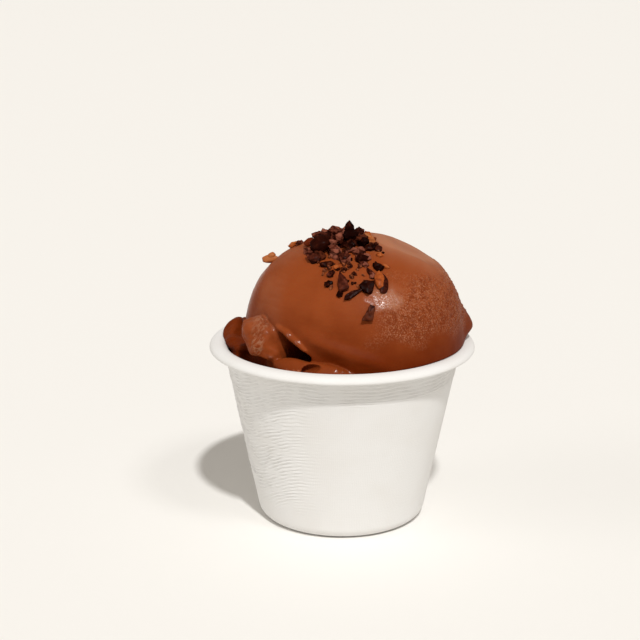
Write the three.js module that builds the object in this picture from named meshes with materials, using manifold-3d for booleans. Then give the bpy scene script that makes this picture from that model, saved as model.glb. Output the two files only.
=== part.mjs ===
// One big scoop of chocolate sorbet with cacao nibs, in a small moulded-fibre cup.
// Millimetres, +Z up. The origin is the centre of the cup's foot on the table, and the front faces -Y.
// Azimuths are measured from the front, positive to the right. Angles in the tables are degrees.
import * as THREE from "three";
import { mergeVertices } from "three/addons/utils/BufferGeometryUtils.js";
import Module from "manifold-3d";

const { degToRad, radToDeg, smoothstep, clamp } = THREE.MathUtils;
const wasm = await Module();
wasm.setup();

// Driving dimensions

const CUP = {
  height: 52.3,
  lipRadius: 38, // outermost edge of the rolled lip
  crestRadius: 35.2, // highest circle of the lip
  baseRadius: 23.7, // the wall's line carried down to the table
  wallSlope: 0.2024, // growth of the radius for each millimetre of height
  wall: 1.02,
  lipRise: 2.7, // from the top of the straight wall up to the crest
  lipDrop: 1.8, // from the crest down to the middle of the outer edge
  lipSheet: 0.9, // thickness of the lip at the crest
  edgeRadius: 0.5, // half the thickness of the lip's free edge
  corner: 3.8, // between wall and foot, outside
  footWidth: 2.6, // flat ring that stands on the table
  footRecess: 1.3, // height of the underside inside that ring
  segments: 64,
  arcSteps: 2,
};

const SORBET_GAP = 0.35; // between the sorbet and the cup, all over

const SCOOP = {
  centre: new THREE.Vector3(3.7, 0.2, 51.8),
  radius: 31.7,
  crownFlat: 0.9, // how far the crown is pressed down, from one elevation to another
  crownFrom: 48,
  crownTo: 88,
  shoulder: 1.0, // how far the ball swells below the crown, at which elevation and over what width
  shoulderHeight: 36,
  shoulderWidth: 22,
  waves: 0.45, // broad unevenness, as a double and a triple wave around the ball
  doubleWavePhase: 0.7,
  tripleWaveShare: 0.6,
  segments: 56,
  rings: 32,
  closest: -32, // the azimuth where the lines of the ball's net lie closest, and by how much
  closer: 0.5,
};

// The net's rings follow the free edge over this span of azimuths, up to this elevation.
const NET_BEND = { from: -92, to: 18, fade: 36, highest: 24 };

// Where the scoop was pressed flat at the top right: a plane square to a direction from the scoop's centre.
const FACET = { azimuth: 97, elevation: 63, distance: 30.45 };

// The sorbet that was squeezed out low on the right and behind. Its ridge waves up and down as it goes round,
// and its height falls off over some degrees of elevation above and below the ridge.
const COLLAR = {
  ...{ depth: 2.9, ridge: 5, ripple: 1.6, ripples: 5, above: 9, below: 3.4 },
  ...{ from: 76, to: 235, fade: 18 },
};

// The scoop's free edge at the front left, with a thin lip above it and a hollow under it.
const EDGE = {
  azimuth: -27, // a point of the edge, with the edge's slope from there
  elevation: 8.3,
  slope: -0.55,
  from: -45, // where the free edge starts and ends
  to: -22.5,
  fade: 7,
  hollow: 9, // depth of the hollow
  soft: 3.2,
  lip: 0.95, // the lip's height, how far above the edge its middle lies, and its width
  lipRise: 2.0,
  lipWidth: 2.2,
};

// The soft fold that slants down across the front, with a shallow groove above it.
const FOLD = {
  ...{ azimuth: -10, elevation: 10.8, slope: -0.32, height: 0.75, width: 3.2 },
  ...{ groove: 0.3, grooveRise: 5.5 },
  ...{ from: -34, to: 22, fade: 14 },
};

// Under the fold the ball draws back by a depth that is reached between two distances below it.
const UNDERCUT = { depth: 1.2, starts: 1, ends: 8, from: -30, to: 2, fade: 12 };

// The chunk at the left is a block with well-rounded corners. Its sides lean, its top slopes and its face
// lies back.
const CHUNK = {
  middle: new THREE.Vector3(-21.2, -18.6, 56.4),
  wide: 5.45, // half sizes
  tall: 6.75,
  deep: 5.0,
  lean: 0.3, // shift to the left for each millimetre up
  slope: 0.12, // fall of the top for each millimetre to the right
  back: 20,
  corner: 2.9, // a power: 2 would make the block an egg, and a high one would make its corners sharp
  lump: 0.18, // height of its slow swells, with their waves for each millimetre across and up
  lumpAcross: 1.1,
  lumpUp: 0.9,
  segments: 16,
  rings: 14,
};

// Soft masses beside the scoop. Each is an egg bent along the rim. Given are the azimuth of its middle and
// its half span, its distance from the cup's axis and its height, how both change toward its right end,
// and its half section with the share by which that swells and shrinks.
const LEFT_ROLL = {
  ...{ azimuth: -104, span: 40, radius: 30.2, drift: -1.2, height: 50.6, rise: 0.4 },
  ...{ halfWidth: 4.4, halfHeight: 4.2, rough: 0.16 },
};
const FRONT_ROLL = {
  ...{ azimuth: -13.5, span: 25.5, radius: 30.2, drift: 0.6, height: 50.0, rise: -1.5 },
  ...{ halfWidth: 3.6, halfHeight: 4.0, rough: 0.06 },
};
// The gap at the rim below the chunk has such a form too, but is cut out.
const RIM_GAP = {
  ...{ azimuth: -52, span: 17, radius: 31.2, drift: 0.8, height: 50.2, rise: -0.4 },
  ...{ halfWidth: 4.6, halfHeight: 3.5, rough: 0.08 },
};
const MASS_LUMPS = { along: 7, across: 4, upward: 3, phase: 0.05 };
const MASS_SEGMENTS = 12;
const MASS_RINGS = 18;

// The bed of sorbet that fills the cup under the scoop, with a slightly wavy top.
const BED = { level: 49.6, wave: 0.7, waveLengthX: 27, waveLengthY: 33, rings: 3, segments: 48 };

// Flat chips of nib have an outline of five corners, given counterclockwise as shares of half their size.
const LONE_FLAKE = [[1, 0.8], [0.2, 1], [-0.3, 0.1], [-1, -1], [0.8, -1]];
const FRONT_WEDGE = [[1, -0.65], [0.4, 0.4], [-0.55, 1], [-1, 0], [-0.75, -1]];
const DARK_CHIP = [[1, -0.5], [1, 0.9], [-0.3, 1], [-1, 0.05], [0.25, -1]];
const LONG_CHIP = [[1, 0.95], [0.2, 1], [-0.7, 0.1], [-1, -1], [-0.25, -0.8]];

// Cacao nibs lie in patches. Their places are plan offsets from the scoop's centre, as shares of its radius.
const NIBS = {
  seed: 20417,
  sunk: 0.3, // share of a nib's thickness that is pressed into the sorbet
  layerHeight: 1.7,
  shift: 0.02, // largest random shift of a place
  tilt: 0.4, // largest random tilt, in radians
  width: [0.5, 0.85], // as shares of the length
  thickness: [0.4, 0.62],
  knock: [0.62, 1.34], // how far a shard's corners are knocked in or out
  singleKnock: [0.88, 1.12], // the same for the single nibs
  flatEnd: 0.9, // how much of a tapering shard's wide end is broken off, for each share of taper
  fullEnd: 1.05, // where the end of a shard without taper lies
  sides: 5, // corners in each of a shard's two rings
  chipEdge: 0.8, // height of a chip's edge, as a share of half its thickness
  patches: [
    { name: "heap", count: 34, centre: [-0.13, -0.22], reach: [0.3, 0.36], length: [3.2, 5.4], layer: 0 },
    { name: "heap top", count: 17, centre: [-0.13, -0.2], reach: [0.23, 0.25], length: [3.2, 5.2], layer: 1 },
    { name: "trail", count: 8, centre: [-0.01, -0.6], reach: [0.19, 0.1], length: [1.8, 3.2], layer: 0 },
  ],
  // Single nibs that stand out: place, length, width and thickness, turn about the normal, how much the
  // far end is narrower or the outline, tilt and lift.
  singles: [
    { name: "lone flake", place: [0.099, -0.873], size: [3.4, 4.5, 2.0], turn: 0, outline: LONE_FLAKE },
    { name: "husk curl", place: [0.194, -0.685], size: [6.6, 3.6, 2.3], turn: 100 },
    { name: "husk skin", place: [0.222, -0.702], size: [7.4, 3.5, 1.7], turn: 100 },
    { name: "black seed", place: [0.185, -0.572], size: [4.2, 3.0, 2.2], turn: 150, taper: 0.3 },
    { name: "seed tail", place: [0.254, -0.547], size: [3.0, 1.6, 1.2], turn: 10, taper: 0.5 },
    { name: "dark low", place: [0.081, -0.75], size: [4.25, 4.0, 2.4], turn: 0, outline: DARK_CHIP },
    { name: "long chip", place: [-0.025, -0.794], size: [4.9, 2.85, 1.5], turn: 0, outline: LONG_CHIP },
    { name: "front wedge", place: [-0.102, -0.716], size: [3.4, 6.5, 2.4], turn: 0, outline: FRONT_WEDGE },
    { name: "wedge foot", place: [-0.132, -0.777], size: [3.0, 2.0, 1.6], turn: 60, taper: 0.3 },
    { name: "oval chip", place: [0.196, -0.325], size: [3.6, 2.8, 1.8], turn: 90 },
    { name: "oval tail", place: [0.207, -0.417], size: [2.5, 2.2, 1.4], turn: 0 },
    { name: "flat chip", place: [0.063, -0.495], size: [5.2, 3.6, 1.8], turn: 20, taper: 0.2, lift: 0.3 },
    { name: "red sliver", place: [0.126, -0.635], size: [4.2, 1.7, 1.4], turn: 130, taper: 0.4 },
    { name: "big round", place: [-0.283, -0.33], size: [7.2, 6.6, 5.6], turn: 20, lift: 1.0 },
    { name: "round top", place: [-0.246, -0.24], size: [4.6, 3.8, 3.0], turn: 40, taper: 0.2, lift: 1.8 },
    { name: "orange left", place: [-0.396, -0.123], size: [4.6, 3.2, 2.4], turn: 60, taper: 0.3, lift: 0.5 },
    { name: "black lump", place: [-0.043, -0.275], size: [5.0, 4.4, 4.0], turn: 0, lift: 2.0 },
    { name: "dark peak", place: [-0.05, -0.18], size: [3.4, 3.0, 6.4], turn: 0, lift: 1.8 },
    { name: "dark right", place: [0.068, -0.29], size: [3.6, 3.0, 2.5], turn: 30, taper: 0.2, lift: 0.9 },
    { name: "tan right", place: [0.134, -0.152], size: [4.2, 2.2, 1.4], turn: 20, taper: 0.4, lift: 0.3 },
    {
      name: "left stray",
      ...{ place: [-0.728, 0.18], size: [6.6, 3.2, 3.0], turn: -15, taper: 0.3, tilt: [0, 0.7], lift: 0.5 },
    },
    { name: "left lobe", place: [-0.712, 0.17], size: [3.2, 2.6, 2.6], turn: -15, lift: 0.9 },
    { name: "tan left", place: [-0.545, 0.126], size: [3.4, 2.4, 1.8], turn: 0, taper: 0.3, lift: 0.2 },
    { name: "grey left", place: [-0.492, 0.049], size: [2.8, 2.2, 1.7], turn: 40, lift: 0.2 },
    { name: "chip left", place: [-0.208, -0.629], size: [2.9, 2.3, 1.8], turn: 50, taper: 0.2 },
    { name: "crumb left", place: [-0.227, -0.698], size: [2.8, 2.1, 1.6], turn: 10, taper: 0.2 },
    { name: "orange mid", place: [-0.147, -0.584], size: [3.0, 1.8, 1.4], turn: 0, taper: 0.3 },
  ],
};

const MATERIALS = {
  cup: new THREE.MeshStandardMaterial({ color: 0xece8e1, roughness: 0.85, metalness: 0 }),
  sorbet: new THREE.MeshStandardMaterial({ color: 0x7d3a1c, roughness: 0.45, metalness: 0 }),
};

// Small helpers

// Random numbers that come out the same for the same seed, so the nibs always lie alike.
function drawer(seed) {
  const modulus = 2147483647;
  let state = seed;
  return (low, high) => {
    state = (state * 16807) % modulus;
    return low + ((high - low) * state) / modulus;
  };
}

// 1 within a span of azimuths, falling smoothly to 0 at its ends.
function within(degrees, from, to, fade) {
  return smoothstep(degrees, from, from + fade) * (1 - smoothstep(degrees, to - fade, to));
}

// Unit direction of an azimuth and an elevation, in degrees.
function direction(azimuth, elevation) {
  const a = degToRad(azimuth);
  const e = degToRad(elevation);
  return new THREE.Vector3(Math.sin(a) * Math.cos(e), -Math.cos(a) * Math.cos(e), Math.sin(e));
}

// Azimuth and elevation of a unit direction, in degrees.
function anglesOf(toward) {
  return [radToDeg(Math.atan2(toward.x, -toward.y)), radToDeg(Math.asin(clamp(toward.z, -1, 1)))];
}

// A geometry with positions alone, each vertex once.
function bare(geometry) {
  geometry.deleteAttribute("normal");
  geometry.deleteAttribute("uv");
  return mergeVertices(geometry, 1e-4);
}

// The closed solid of a geometry.
function solid(geometry) {
  const merged = bare(geometry);
  return new wasm.Manifold(
    new wasm.Mesh({
      numProp: 3,
      vertProperties: merged.attributes.position.array,
      triVerts: new Uint32Array(merged.index.array),
    }),
  );
}

// A drawable geometry of a solid, without loose scraps or sealed bubbles.
function geometryOf(body) {
  const largest = body.decompose().reduce((a, b) => (b.volume() > a.volume() ? b : a));
  const mesh = largest.getMesh();
  const geometry = new THREE.BufferGeometry();
  geometry.setAttribute("position", new THREE.BufferAttribute(mesh.vertProperties, 3));
  geometry.setIndex(new THREE.BufferAttribute(mesh.triVerts, 1));
  geometry.computeVertexNormals();
  return geometry;
}

// A solid of revolution about Z from a path of (radius, height) points.
function turned(path, segments) {
  return new THREE.LatheGeometry(path.getPoints(CUP.arcSteps), segments).rotateX(Math.PI / 2);
}

// Moves every vertex of a geometry to where the rule says.
function reshape(geometry, rule) {
  const position = geometry.attributes.position;
  const point = new THREE.Vector3();
  for (let i = 0; i < position.count; i++) {
    point.fromBufferAttribute(position, i);
    rule(point);
    position.setXYZ(i, point.x, point.y, point.z);
  }
  return geometry;
}

// Cup

const RIGHT = 0;
const UP = Math.PI / 2;
const LEFT = Math.PI;
const DOWN = -Math.PI / 2;
const WALL_LEAN = Math.atan(CUP.wallSlope);
const WALL_TOP = CUP.height - CUP.lipRise;
const FLOOR = CUP.footRecess + CUP.wall;

const outerRadius = (z) => CUP.baseRadius + CUP.wallSlope * z;
const innerRadius = (z) => outerRadius(z) - CUP.wall;

// The rolled lip: up the underside, round the free edge, over the crest and down to the inside of the wall.
function drawLip(path) {
  const { height, lipRadius, crestRadius, edgeRadius, lipRise } = CUP;
  const rimEdge = height - CUP.lipDrop;
  const edgeInside = lipRadius - 2 * edgeRadius;
  const under = height - CUP.lipSheet;
  const bend = crestRadius - outerRadius(WALL_TOP);
  path.absellipse(crestRadius, WALL_TOP, bend, under - WALL_TOP, LEFT, UP, true);
  path.absellipse(crestRadius, rimEdge, edgeInside - crestRadius, under - rimEdge, UP, RIGHT, true);
  path.absarc(lipRadius - edgeRadius, rimEdge, edgeRadius, LEFT, 2 * LEFT, false);
  path.absellipse(crestRadius, rimEdge, lipRadius - crestRadius, height - rimEdge, RIGHT, UP, false);
  path.absellipse(crestRadius, WALL_TOP, crestRadius - innerRadius(WALL_TOP), lipRise, UP, LEFT, false);
}

// The cup's section, from the middle of the underside, up the outside, over the lip and down to the floor.
function cupGeometry() {
  const { corner, footRecess } = CUP;
  const footOutside = outerRadius(corner) - corner / Math.cos(WALL_LEAN);
  const footInside = footOutside - CUP.footWidth;
  const insideCorner = corner - CUP.wall;
  const insideHeight = FLOOR + insideCorner;
  const insideCentre = innerRadius(insideHeight) - insideCorner / Math.cos(WALL_LEAN);
  const path = new THREE.Path();
  path.moveTo(0, footRecess);
  path.lineTo(footInside - footRecess, footRecess);
  path.lineTo(footInside, 0);
  path.lineTo(footOutside, 0);
  path.absarc(footOutside, corner, corner, DOWN, -WALL_LEAN, false);
  path.lineTo(outerRadius(WALL_TOP), WALL_TOP);
  drawLip(path);
  path.absarc(insideCentre, insideHeight, insideCorner, -WALL_LEAN, DOWN, true);
  path.lineTo(0, FLOOR);
  return turned(path, CUP.segments);
}

// Everything outside the cup's hollow, kept clear of the sorbet by the gap.
function cupKeepOut() {
  const { height, crestRadius, corner } = CUP;
  const far = 2 * CUP.lipRadius;
  const top = height + SORBET_GAP;
  const floor = FLOOR + SORBET_GAP;
  const inside = (z) => innerRadius(z) - SORBET_GAP;
  const path = new THREE.Path();
  path.moveTo(0, -height);
  path.lineTo(far, -height);
  path.lineTo(far, top);
  path.lineTo(crestRadius, top);
  path.absellipse(crestRadius, WALL_TOP, crestRadius - inside(WALL_TOP), top - WALL_TOP, UP, LEFT, false);
  path.lineTo(inside(floor + corner), floor + corner);
  path.lineTo(inside(floor) - corner, floor);
  path.lineTo(0, floor);
  return solid(turned(path, BED.segments));
}

// Scoop

// Elevation of the scoop's free edge at an azimuth.
const edgeElevation = (azimuth) => EDGE.elevation + EDGE.slope * (azimuth - EDGE.azimuth);

// How much of the free edge there is at an azimuth, from 0 to 1.
const edgeShare = (azimuth) => within(azimuth, EDGE.from, EDGE.to, EDGE.fade);

// A smooth hump of height 1 that falls off over a width.
const hump = (away, width) => Math.exp(-((away / width) ** 2));

// The ball's own unevenness: a pressed crown, full shoulders, broad waves and the facet.
function ballRadius(azimuth, elevation) {
  const a = degToRad(azimuth);
  const e = degToRad(elevation);
  const crown = SCOOP.crownFlat * smoothstep(elevation, SCOOP.crownFrom, SCOOP.crownTo);
  const shoulder = SCOOP.shoulder * hump(elevation - SCOOP.shoulderHeight, SCOOP.shoulderWidth);
  const doubleWave = Math.sin(2 * a + SCOOP.doubleWavePhase) * Math.cos(2 * e);
  const tripleWave = SCOOP.tripleWaveShare * Math.sin(3 * a - 2 * e);
  const round = SCOOP.radius - crown + shoulder + SCOOP.waves * Math.cos(e) * (doubleWave + tripleWave);
  const towardFacet = direction(azimuth, elevation).dot(direction(FACET.azimuth, FACET.elevation));
  return towardFacet > 0 ? Math.min(round, FACET.distance / towardFacet) : round;
}

// How far the squeezed-out collar stands out of the ball.
function collarHeight(azimuth, elevation) {
  const around = (azimuth + 360) % 360;
  const away = elevation - COLLAR.ridge - COLLAR.ripple * Math.sin(COLLAR.ripples * degToRad(azimuth));
  const width = away > 0 ? COLLAR.above : COLLAR.below;
  return COLLAR.depth * hump(away, width) * within(around, COLLAR.from, COLLAR.to, COLLAR.fade);
}

// The lip along the free edge and the hollow under it.
function edgeHeight(azimuth, elevation) {
  const above = elevation - edgeElevation(azimuth);
  const lip = EDGE.lip * hump(above - EDGE.lipRise, EDGE.lipWidth);
  const hollow = EDGE.hollow * smoothstep(-above, 0, EDGE.soft);
  return edgeShare(azimuth) * (lip - hollow);
}

// How far the slanting fold stands out of the ball, with the groove above it and the undercut below it.
function foldHeight(azimuth, elevation) {
  const above = elevation - FOLD.elevation - FOLD.slope * (azimuth - FOLD.azimuth);
  const groove = FOLD.groove * hump(above - FOLD.grooveRise, FOLD.width);
  const ridge = FOLD.height * hump(above, FOLD.width);
  const fold = (ridge - groove) * within(azimuth, FOLD.from, FOLD.to, FOLD.fade);
  const drawnBack = UNDERCUT.depth * smoothstep(-above, UNDERCUT.starts, UNDERCUT.ends);
  return fold - drawnBack * within(azimuth, UNDERCUT.from, UNDERCUT.to, UNDERCUT.fade);
}

// The point of the scoop's surface at an azimuth and an elevation.
function scoopPoint(azimuth, elevation) {
  const edge = edgeHeight(azimuth, elevation) + foldHeight(azimuth, elevation);
  const radius = ballRadius(azimuth, elevation) + collarHeight(azimuth, elevation) + edge;
  return direction(azimuth, elevation).multiplyScalar(radius).add(SCOOP.centre);
}

// The ball's net is drawn together round the free edge, and its rings are bent to run along that edge.
function scoop() {
  const ball = new THREE.SphereGeometry(1, SCOOP.segments, SCOOP.rings).rotateX(Math.PI / 2);
  return solid(
    reshape(ball, (point) => {
      const [even, ring] = anglesOf(point);
      const azimuth = even - radToDeg(SCOOP.closer * Math.sin(degToRad(even - SCOOP.closest)));
      const edge = Math.min(edgeElevation(azimuth), NET_BEND.highest);
      const bend = edge * within(azimuth, NET_BEND.from, NET_BEND.to, NET_BEND.fade);
      point.copy(scoopPoint(azimuth, ring + bend * (1 - Math.abs(ring) / 90)));
    }),
  );
}

// Sorbet around and under the scoop

// Every point of a ball is pushed out to a block of half size 1, which is then sheared, made a little lumpy
// and laid back. Before that, x runs to the right, y up the block's face and z out of it.
function chunk() {
  const { wide, tall, deep, lean, slope, corner } = CHUNK;
  const sideways = new THREE.Vector3(1, 0, 0);
  const upright = 1 - lean * slope;
  return solid(
    reshape(new THREE.SphereGeometry(1, CHUNK.segments, CHUNK.rings), (point) => {
      const face = (Math.abs(point.x) ** corner + Math.abs(point.y) ** corner) ** (2 / corner);
      point.divideScalar(Math.sqrt(face + point.z ** 2));
      const across = wide * point.x;
      const upward = tall * point.y;
      point.set((across - lean * upward) / upright, (upward - slope * across) / upright, deep * point.z);
      const swells = Math.sin(CHUNK.lumpAcross * point.x) + Math.sin(CHUNK.lumpUp * point.y);
      point.multiplyScalar(1 + (CHUNK.lump * swells) / wide);
      point.applyAxisAngle(sideways, degToRad(90 - CHUNK.back)).add(CHUNK.middle);
    }),
  );
}

function softMass(mass) {
  const egg = new THREE.SphereGeometry(1, MASS_SEGMENTS, MASS_RINGS).rotateZ(-Math.PI / 2);
  return solid(
    reshape(egg, (point) => {
      const along = point.x;
      const lengthwise = Math.sin(MASS_LUMPS.along * along + MASS_LUMPS.phase * mass.azimuth);
      const crosswise = Math.sin(MASS_LUMPS.across * point.y - MASS_LUMPS.upward * point.z);
      const swell = 1 + mass.rough * (lengthwise + crosswise);
      const out = mass.radius + mass.drift * along - mass.halfWidth * swell * point.y;
      const up = mass.height + mass.rise * along + mass.halfHeight * swell * point.z;
      point.copy(direction(mass.azimuth + mass.span * along, 0)).multiplyScalar(out).setZ(up);
    }),
  );
}

function bed() {
  const edge = outerRadius(BED.level);
  const path = new THREE.Path();
  path.moveTo(0, 0);
  path.lineTo(edge, 0);
  for (let ring = 0; ring <= BED.rings; ring++) {
    path.lineTo(edge * (1 - ring / BED.rings), BED.level);
  }
  return solid(
    reshape(turned(path, BED.segments), (point) => {
      if (point.z < BED.level) return;
      const sideways = Math.sin((2 * Math.PI * point.x) / BED.waveLengthX);
      const endways = Math.cos((2 * Math.PI * point.y) / BED.waveLengthY);
      point.z += BED.wave * sideways * endways;
    }),
  );
}

// Nibs

// The corners of a rough shard: a tip, two rings turned against each other, and a tip, as on a round die.
function shardCorners() {
  const corners = [new THREE.Vector3(0, 0, 1)];
  for (const side of [1, -1]) {
    for (let k = 0; k < NIBS.sides; k++) {
      const turn = ((2 * k + (1 - side) / 2) * Math.PI) / NIBS.sides;
      const corner = new THREE.Vector3(2 * Math.cos(turn), 2 * Math.sin(turn), side);
      corners.push(corner.normalize());
    }
  }
  corners.push(new THREE.Vector3(0, 0, -1));
  return corners;
}

// The same for a flat chip: the upper ring is its outline, and the lower one lies half way between corners.
function chipCorners(outline) {
  const top = outline.map(([x, y]) => new THREE.Vector3(x, y, NIBS.chipEdge));
  const halfWay = (corner, k) => corner.clone().lerp(top[(k + 1) % NIBS.sides], 0.5);
  const low = top.map((corner, k) => halfWay(corner, k).setZ(-NIBS.chipEdge));
  const middle = new THREE.Vector3();
  for (const corner of top) middle.addScaledVector(corner, 1 / NIBS.sides);
  return [middle.clone().setZ(1), ...top, ...low, middle.clone().setZ(-1)];
}

// The faces of either: a fan round each tip, and two triangles for each step round the waist.
function shardFaces() {
  const faces = [];
  const last = 2 * NIBS.sides + 1;
  for (let k = 0; k < NIBS.sides; k++) {
    const upper = 1 + k;
    const upperNext = 1 + ((k + 1) % NIBS.sides);
    const lower = upper + NIBS.sides;
    const lowerNext = upperNext + NIBS.sides;
    faces.push(0, upper, upperNext, upper, lower, upperNext);
    faces.push(upperNext, lower, lowerNext, last, lowerNext, lower);
  }
  return faces;
}

// One broken nib of the given length, width and thickness, with each corner knocked in or out. A nib that
// tapers is broken off flat at its wide end.
function shard({ size, taper = 0, outline }, knock, draw) {
  const shape = outline ? chipCorners(outline) : shardCorners();
  const corners = shape.map((corner) => {
    const reach = 0.5 * draw(...knock);
    corner.x = Math.max(corner.x, NIBS.flatEnd * taper - NIBS.fullEnd);
    const narrow = reach * (1 - taper * corner.x);
    return corner.multiply(new THREE.Vector3(reach * size[0], narrow * size[1], narrow * size[2]));
  });
  return new THREE.BufferGeometry().setFromPoints(corners).setIndex(shardFaces());
}

// A nib pressed into the scoop at a place in plan.
function nib(one, knock, draw) {
  const { place, size, turn, tilt = [0, 0], lift = 0 } = one;
  const toward = new THREE.Vector3(place[0], place[1], 0);
  toward.z = Math.sqrt(1 - toward.lengthSq());
  const spin = new THREE.Quaternion().setFromEuler(new THREE.Euler(tilt[0], tilt[1], degToRad(turn)));
  const stand = new THREE.Quaternion().setFromUnitVectors(new THREE.Vector3(0, 0, 1), toward);
  const height = size[2] * (0.5 - NIBS.sunk) + lift;
  const seat = scoopPoint(...anglesOf(toward)).addScaledVector(toward, height);
  const placed = shard(one, knock, draw).applyQuaternion(spin).applyQuaternion(stand);
  return solid(placed.translate(seat.x, seat.y, seat.z));
}

// The nibs of a patch follow a golden-angle spiral, which covers it evenly, with a small random shift.
function patchNib({ count, centre, reach, length, layer }, index, draw) {
  const out = Math.sqrt((index + 0.5) / count);
  const around = index * Math.PI * (3 - Math.sqrt(5));
  const place = [
    centre[0] + reach[0] * out * Math.cos(around) + draw(-NIBS.shift, NIBS.shift),
    centre[1] + reach[1] * out * Math.sin(around) + draw(-NIBS.shift, NIBS.shift),
  ];
  const long = draw(...length);
  const size = [long, long * draw(...NIBS.width), long * draw(...NIBS.thickness)];
  const turn = draw(0, 180);
  const tilt = [draw(-NIBS.tilt, NIBS.tilt), draw(-NIBS.tilt, NIBS.tilt)];
  return nib({ place, size, turn, tilt, lift: layer * NIBS.layerHeight }, NIBS.knock, draw);
}

function nibs() {
  const draw = drawer(NIBS.seed);
  const made = [];
  for (const patch of NIBS.patches) {
    for (let index = 0; index < patch.count; index++) made.push(patchNib(patch, index, draw));
  }
  for (const single of NIBS.singles) made.push(nib(single, NIBS.singleKnock, draw));
  return made;
}

// Assembly

function sorbetGeometry() {
  const behind = wasm.Manifold.union([scoop(), bed(), chunk(), softMass(LEFT_ROLL)]);
  const food = behind.subtract(softMass(RIM_GAP)).add(softMass(FRONT_ROLL));
  const clear = food.subtract(cupKeepOut());
  return geometryOf(wasm.Manifold.union([clear, ...nibs()]));
}

const part = new THREE.Group();

function add(name, geometry, material) {
  const mesh = new THREE.Mesh(geometry, material);
  mesh.name = name;
  part.add(mesh);
}

add("cup", cupGeometry(), MATERIALS.cup);
add("sorbet", sorbetGeometry(), MATERIALS.sorbet);

export default part;
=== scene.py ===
# %% [markdown]
# # A scoop of chocolate sorbet in a moulded-fibre cup
# The solids of this part are already packed: a cup, and the sorbet with its cacao nibs as one solid. They
# give the sizes and places. Here each of them gets a finer piece with a real surface, on the same spot. All
# sizes below are in millimetres, as on a drawing, and are turned into metres when a mesh is made.

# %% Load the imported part
import math
import bmesh
import bpy
import numpy as np
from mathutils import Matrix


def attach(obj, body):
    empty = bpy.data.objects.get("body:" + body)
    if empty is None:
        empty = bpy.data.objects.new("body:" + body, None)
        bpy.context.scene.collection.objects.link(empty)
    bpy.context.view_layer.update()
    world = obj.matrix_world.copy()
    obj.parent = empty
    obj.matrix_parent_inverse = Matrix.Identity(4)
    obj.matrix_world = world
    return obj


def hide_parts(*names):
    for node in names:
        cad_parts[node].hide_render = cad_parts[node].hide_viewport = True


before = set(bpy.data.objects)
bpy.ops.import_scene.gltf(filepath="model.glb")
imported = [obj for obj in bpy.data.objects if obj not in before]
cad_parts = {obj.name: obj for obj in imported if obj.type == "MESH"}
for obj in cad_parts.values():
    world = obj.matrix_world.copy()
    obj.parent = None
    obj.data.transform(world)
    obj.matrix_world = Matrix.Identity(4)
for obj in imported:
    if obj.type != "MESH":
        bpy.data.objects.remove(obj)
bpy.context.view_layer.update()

import openvdb
from mathutils import Euler, Vector, noise

MM = 0.001

# %% [markdown]
# ## The camera
# The photograph was taken from a little above the rim, from about half a metre away with a longish lens.
# Instead of guessing by eye, the cup's lip was fitted as a circle seen in perspective. That gave the
# elevation, the lens, and the point that lies in the middle of the frame. The camera is turned toward that
# point.

# %% Camera
CUP_HEIGHT = 52.3
CAMERA_ELEVATION = math.radians(16.17)
CAMERA_DISTANCE = 450
LENS_MM = 88.1
SENSOR_MM = 36
NEAREST_SIGHT = 10
FRAME_MIDDLE_RIGHT = -6.35
FRAME_MIDDLE_UP = 5.11


def add_camera():
    sight_up = Vector((0, math.sin(CAMERA_ELEVATION), math.cos(CAMERA_ELEVATION)))
    sight_back = Vector((0, -math.cos(CAMERA_ELEVATION), math.sin(CAMERA_ELEVATION)))
    rim_middle = Vector((0, 0, CUP_HEIGHT))
    middle = rim_middle + Vector((FRAME_MIDDLE_RIGHT, 0, 0)) + FRAME_MIDDLE_UP * sight_up
    data = bpy.data.cameras.new("photo_camera")
    data.lens = LENS_MM
    data.sensor_width = SENSOR_MM
    data.clip_start = NEAREST_SIGHT * MM
    camera = bpy.data.objects.new("photo_camera", data)
    camera.location = (rim_middle + CAMERA_DISTANCE * sight_back) * MM
    camera.rotation_euler = (middle * MM - camera.location).to_track_quat("-Z", "Y").to_euler()
    bpy.context.scene.collection.objects.link(camera)
    bpy.context.scene.camera = camera
    return camera


camera = add_camera()
print("camera at", [round(v, 3) for v in camera.location])

# %% [markdown]
# ## Light
# The cup's rim throws a short band of shade on the wall, so there is one main light, high at the front and
# a little to the right. The shade is still bright, so much of the light comes from all around: a white sky
# and a pale floor. A Sun lamp with a few degrees of width gives the soft edge of that shade. Two weak, wide
# ones lift the right and the left.

# %% Light
LAMP_COLOUR = (1.0, 0.995, 0.985)
KEY_RIGHT = math.radians(12)
KEY_ELEVATION = math.radians(53)
KEY_STRENGTH = 2.24
KEY_WIDTH = math.radians(3.5)
SIDE_RIGHT = math.radians(42)
SIDE_STRENGTH = 0.45
SIDE_WIDTH = math.radians(12)
FILL_RIGHT = math.radians(-76)
FILL_ELEVATION = math.radians(22)
FILL_STRENGTH = 0.38
FILL_WIDTH = math.radians(30)
SKY_STRENGTH = 0.38
SKY_COLOUR = (1.0, 0.93, 0.84)


def add_sun(name, right, elevation, strength, width):
    data = bpy.data.lights.new(name, "SUN")
    data.energy = strength
    data.angle = width
    data.color = LAMP_COLOUR
    lamp = bpy.data.objects.new(name, data)
    across = math.cos(elevation)
    toward = Vector((math.sin(right) * across, -math.cos(right) * across, math.sin(elevation)))
    lamp.rotation_euler = toward.to_track_quat("Z", "Y").to_euler()
    bpy.context.scene.collection.objects.link(lamp)


def add_sky():
    world = bpy.data.worlds.new("white_sky")
    world.use_nodes = True
    sky = world.node_tree.nodes["Background"]
    sky.inputs["Color"].default_value = (*SKY_COLOUR, 1)
    sky.inputs["Strength"].default_value = SKY_STRENGTH
    bpy.context.scene.world = world


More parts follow.
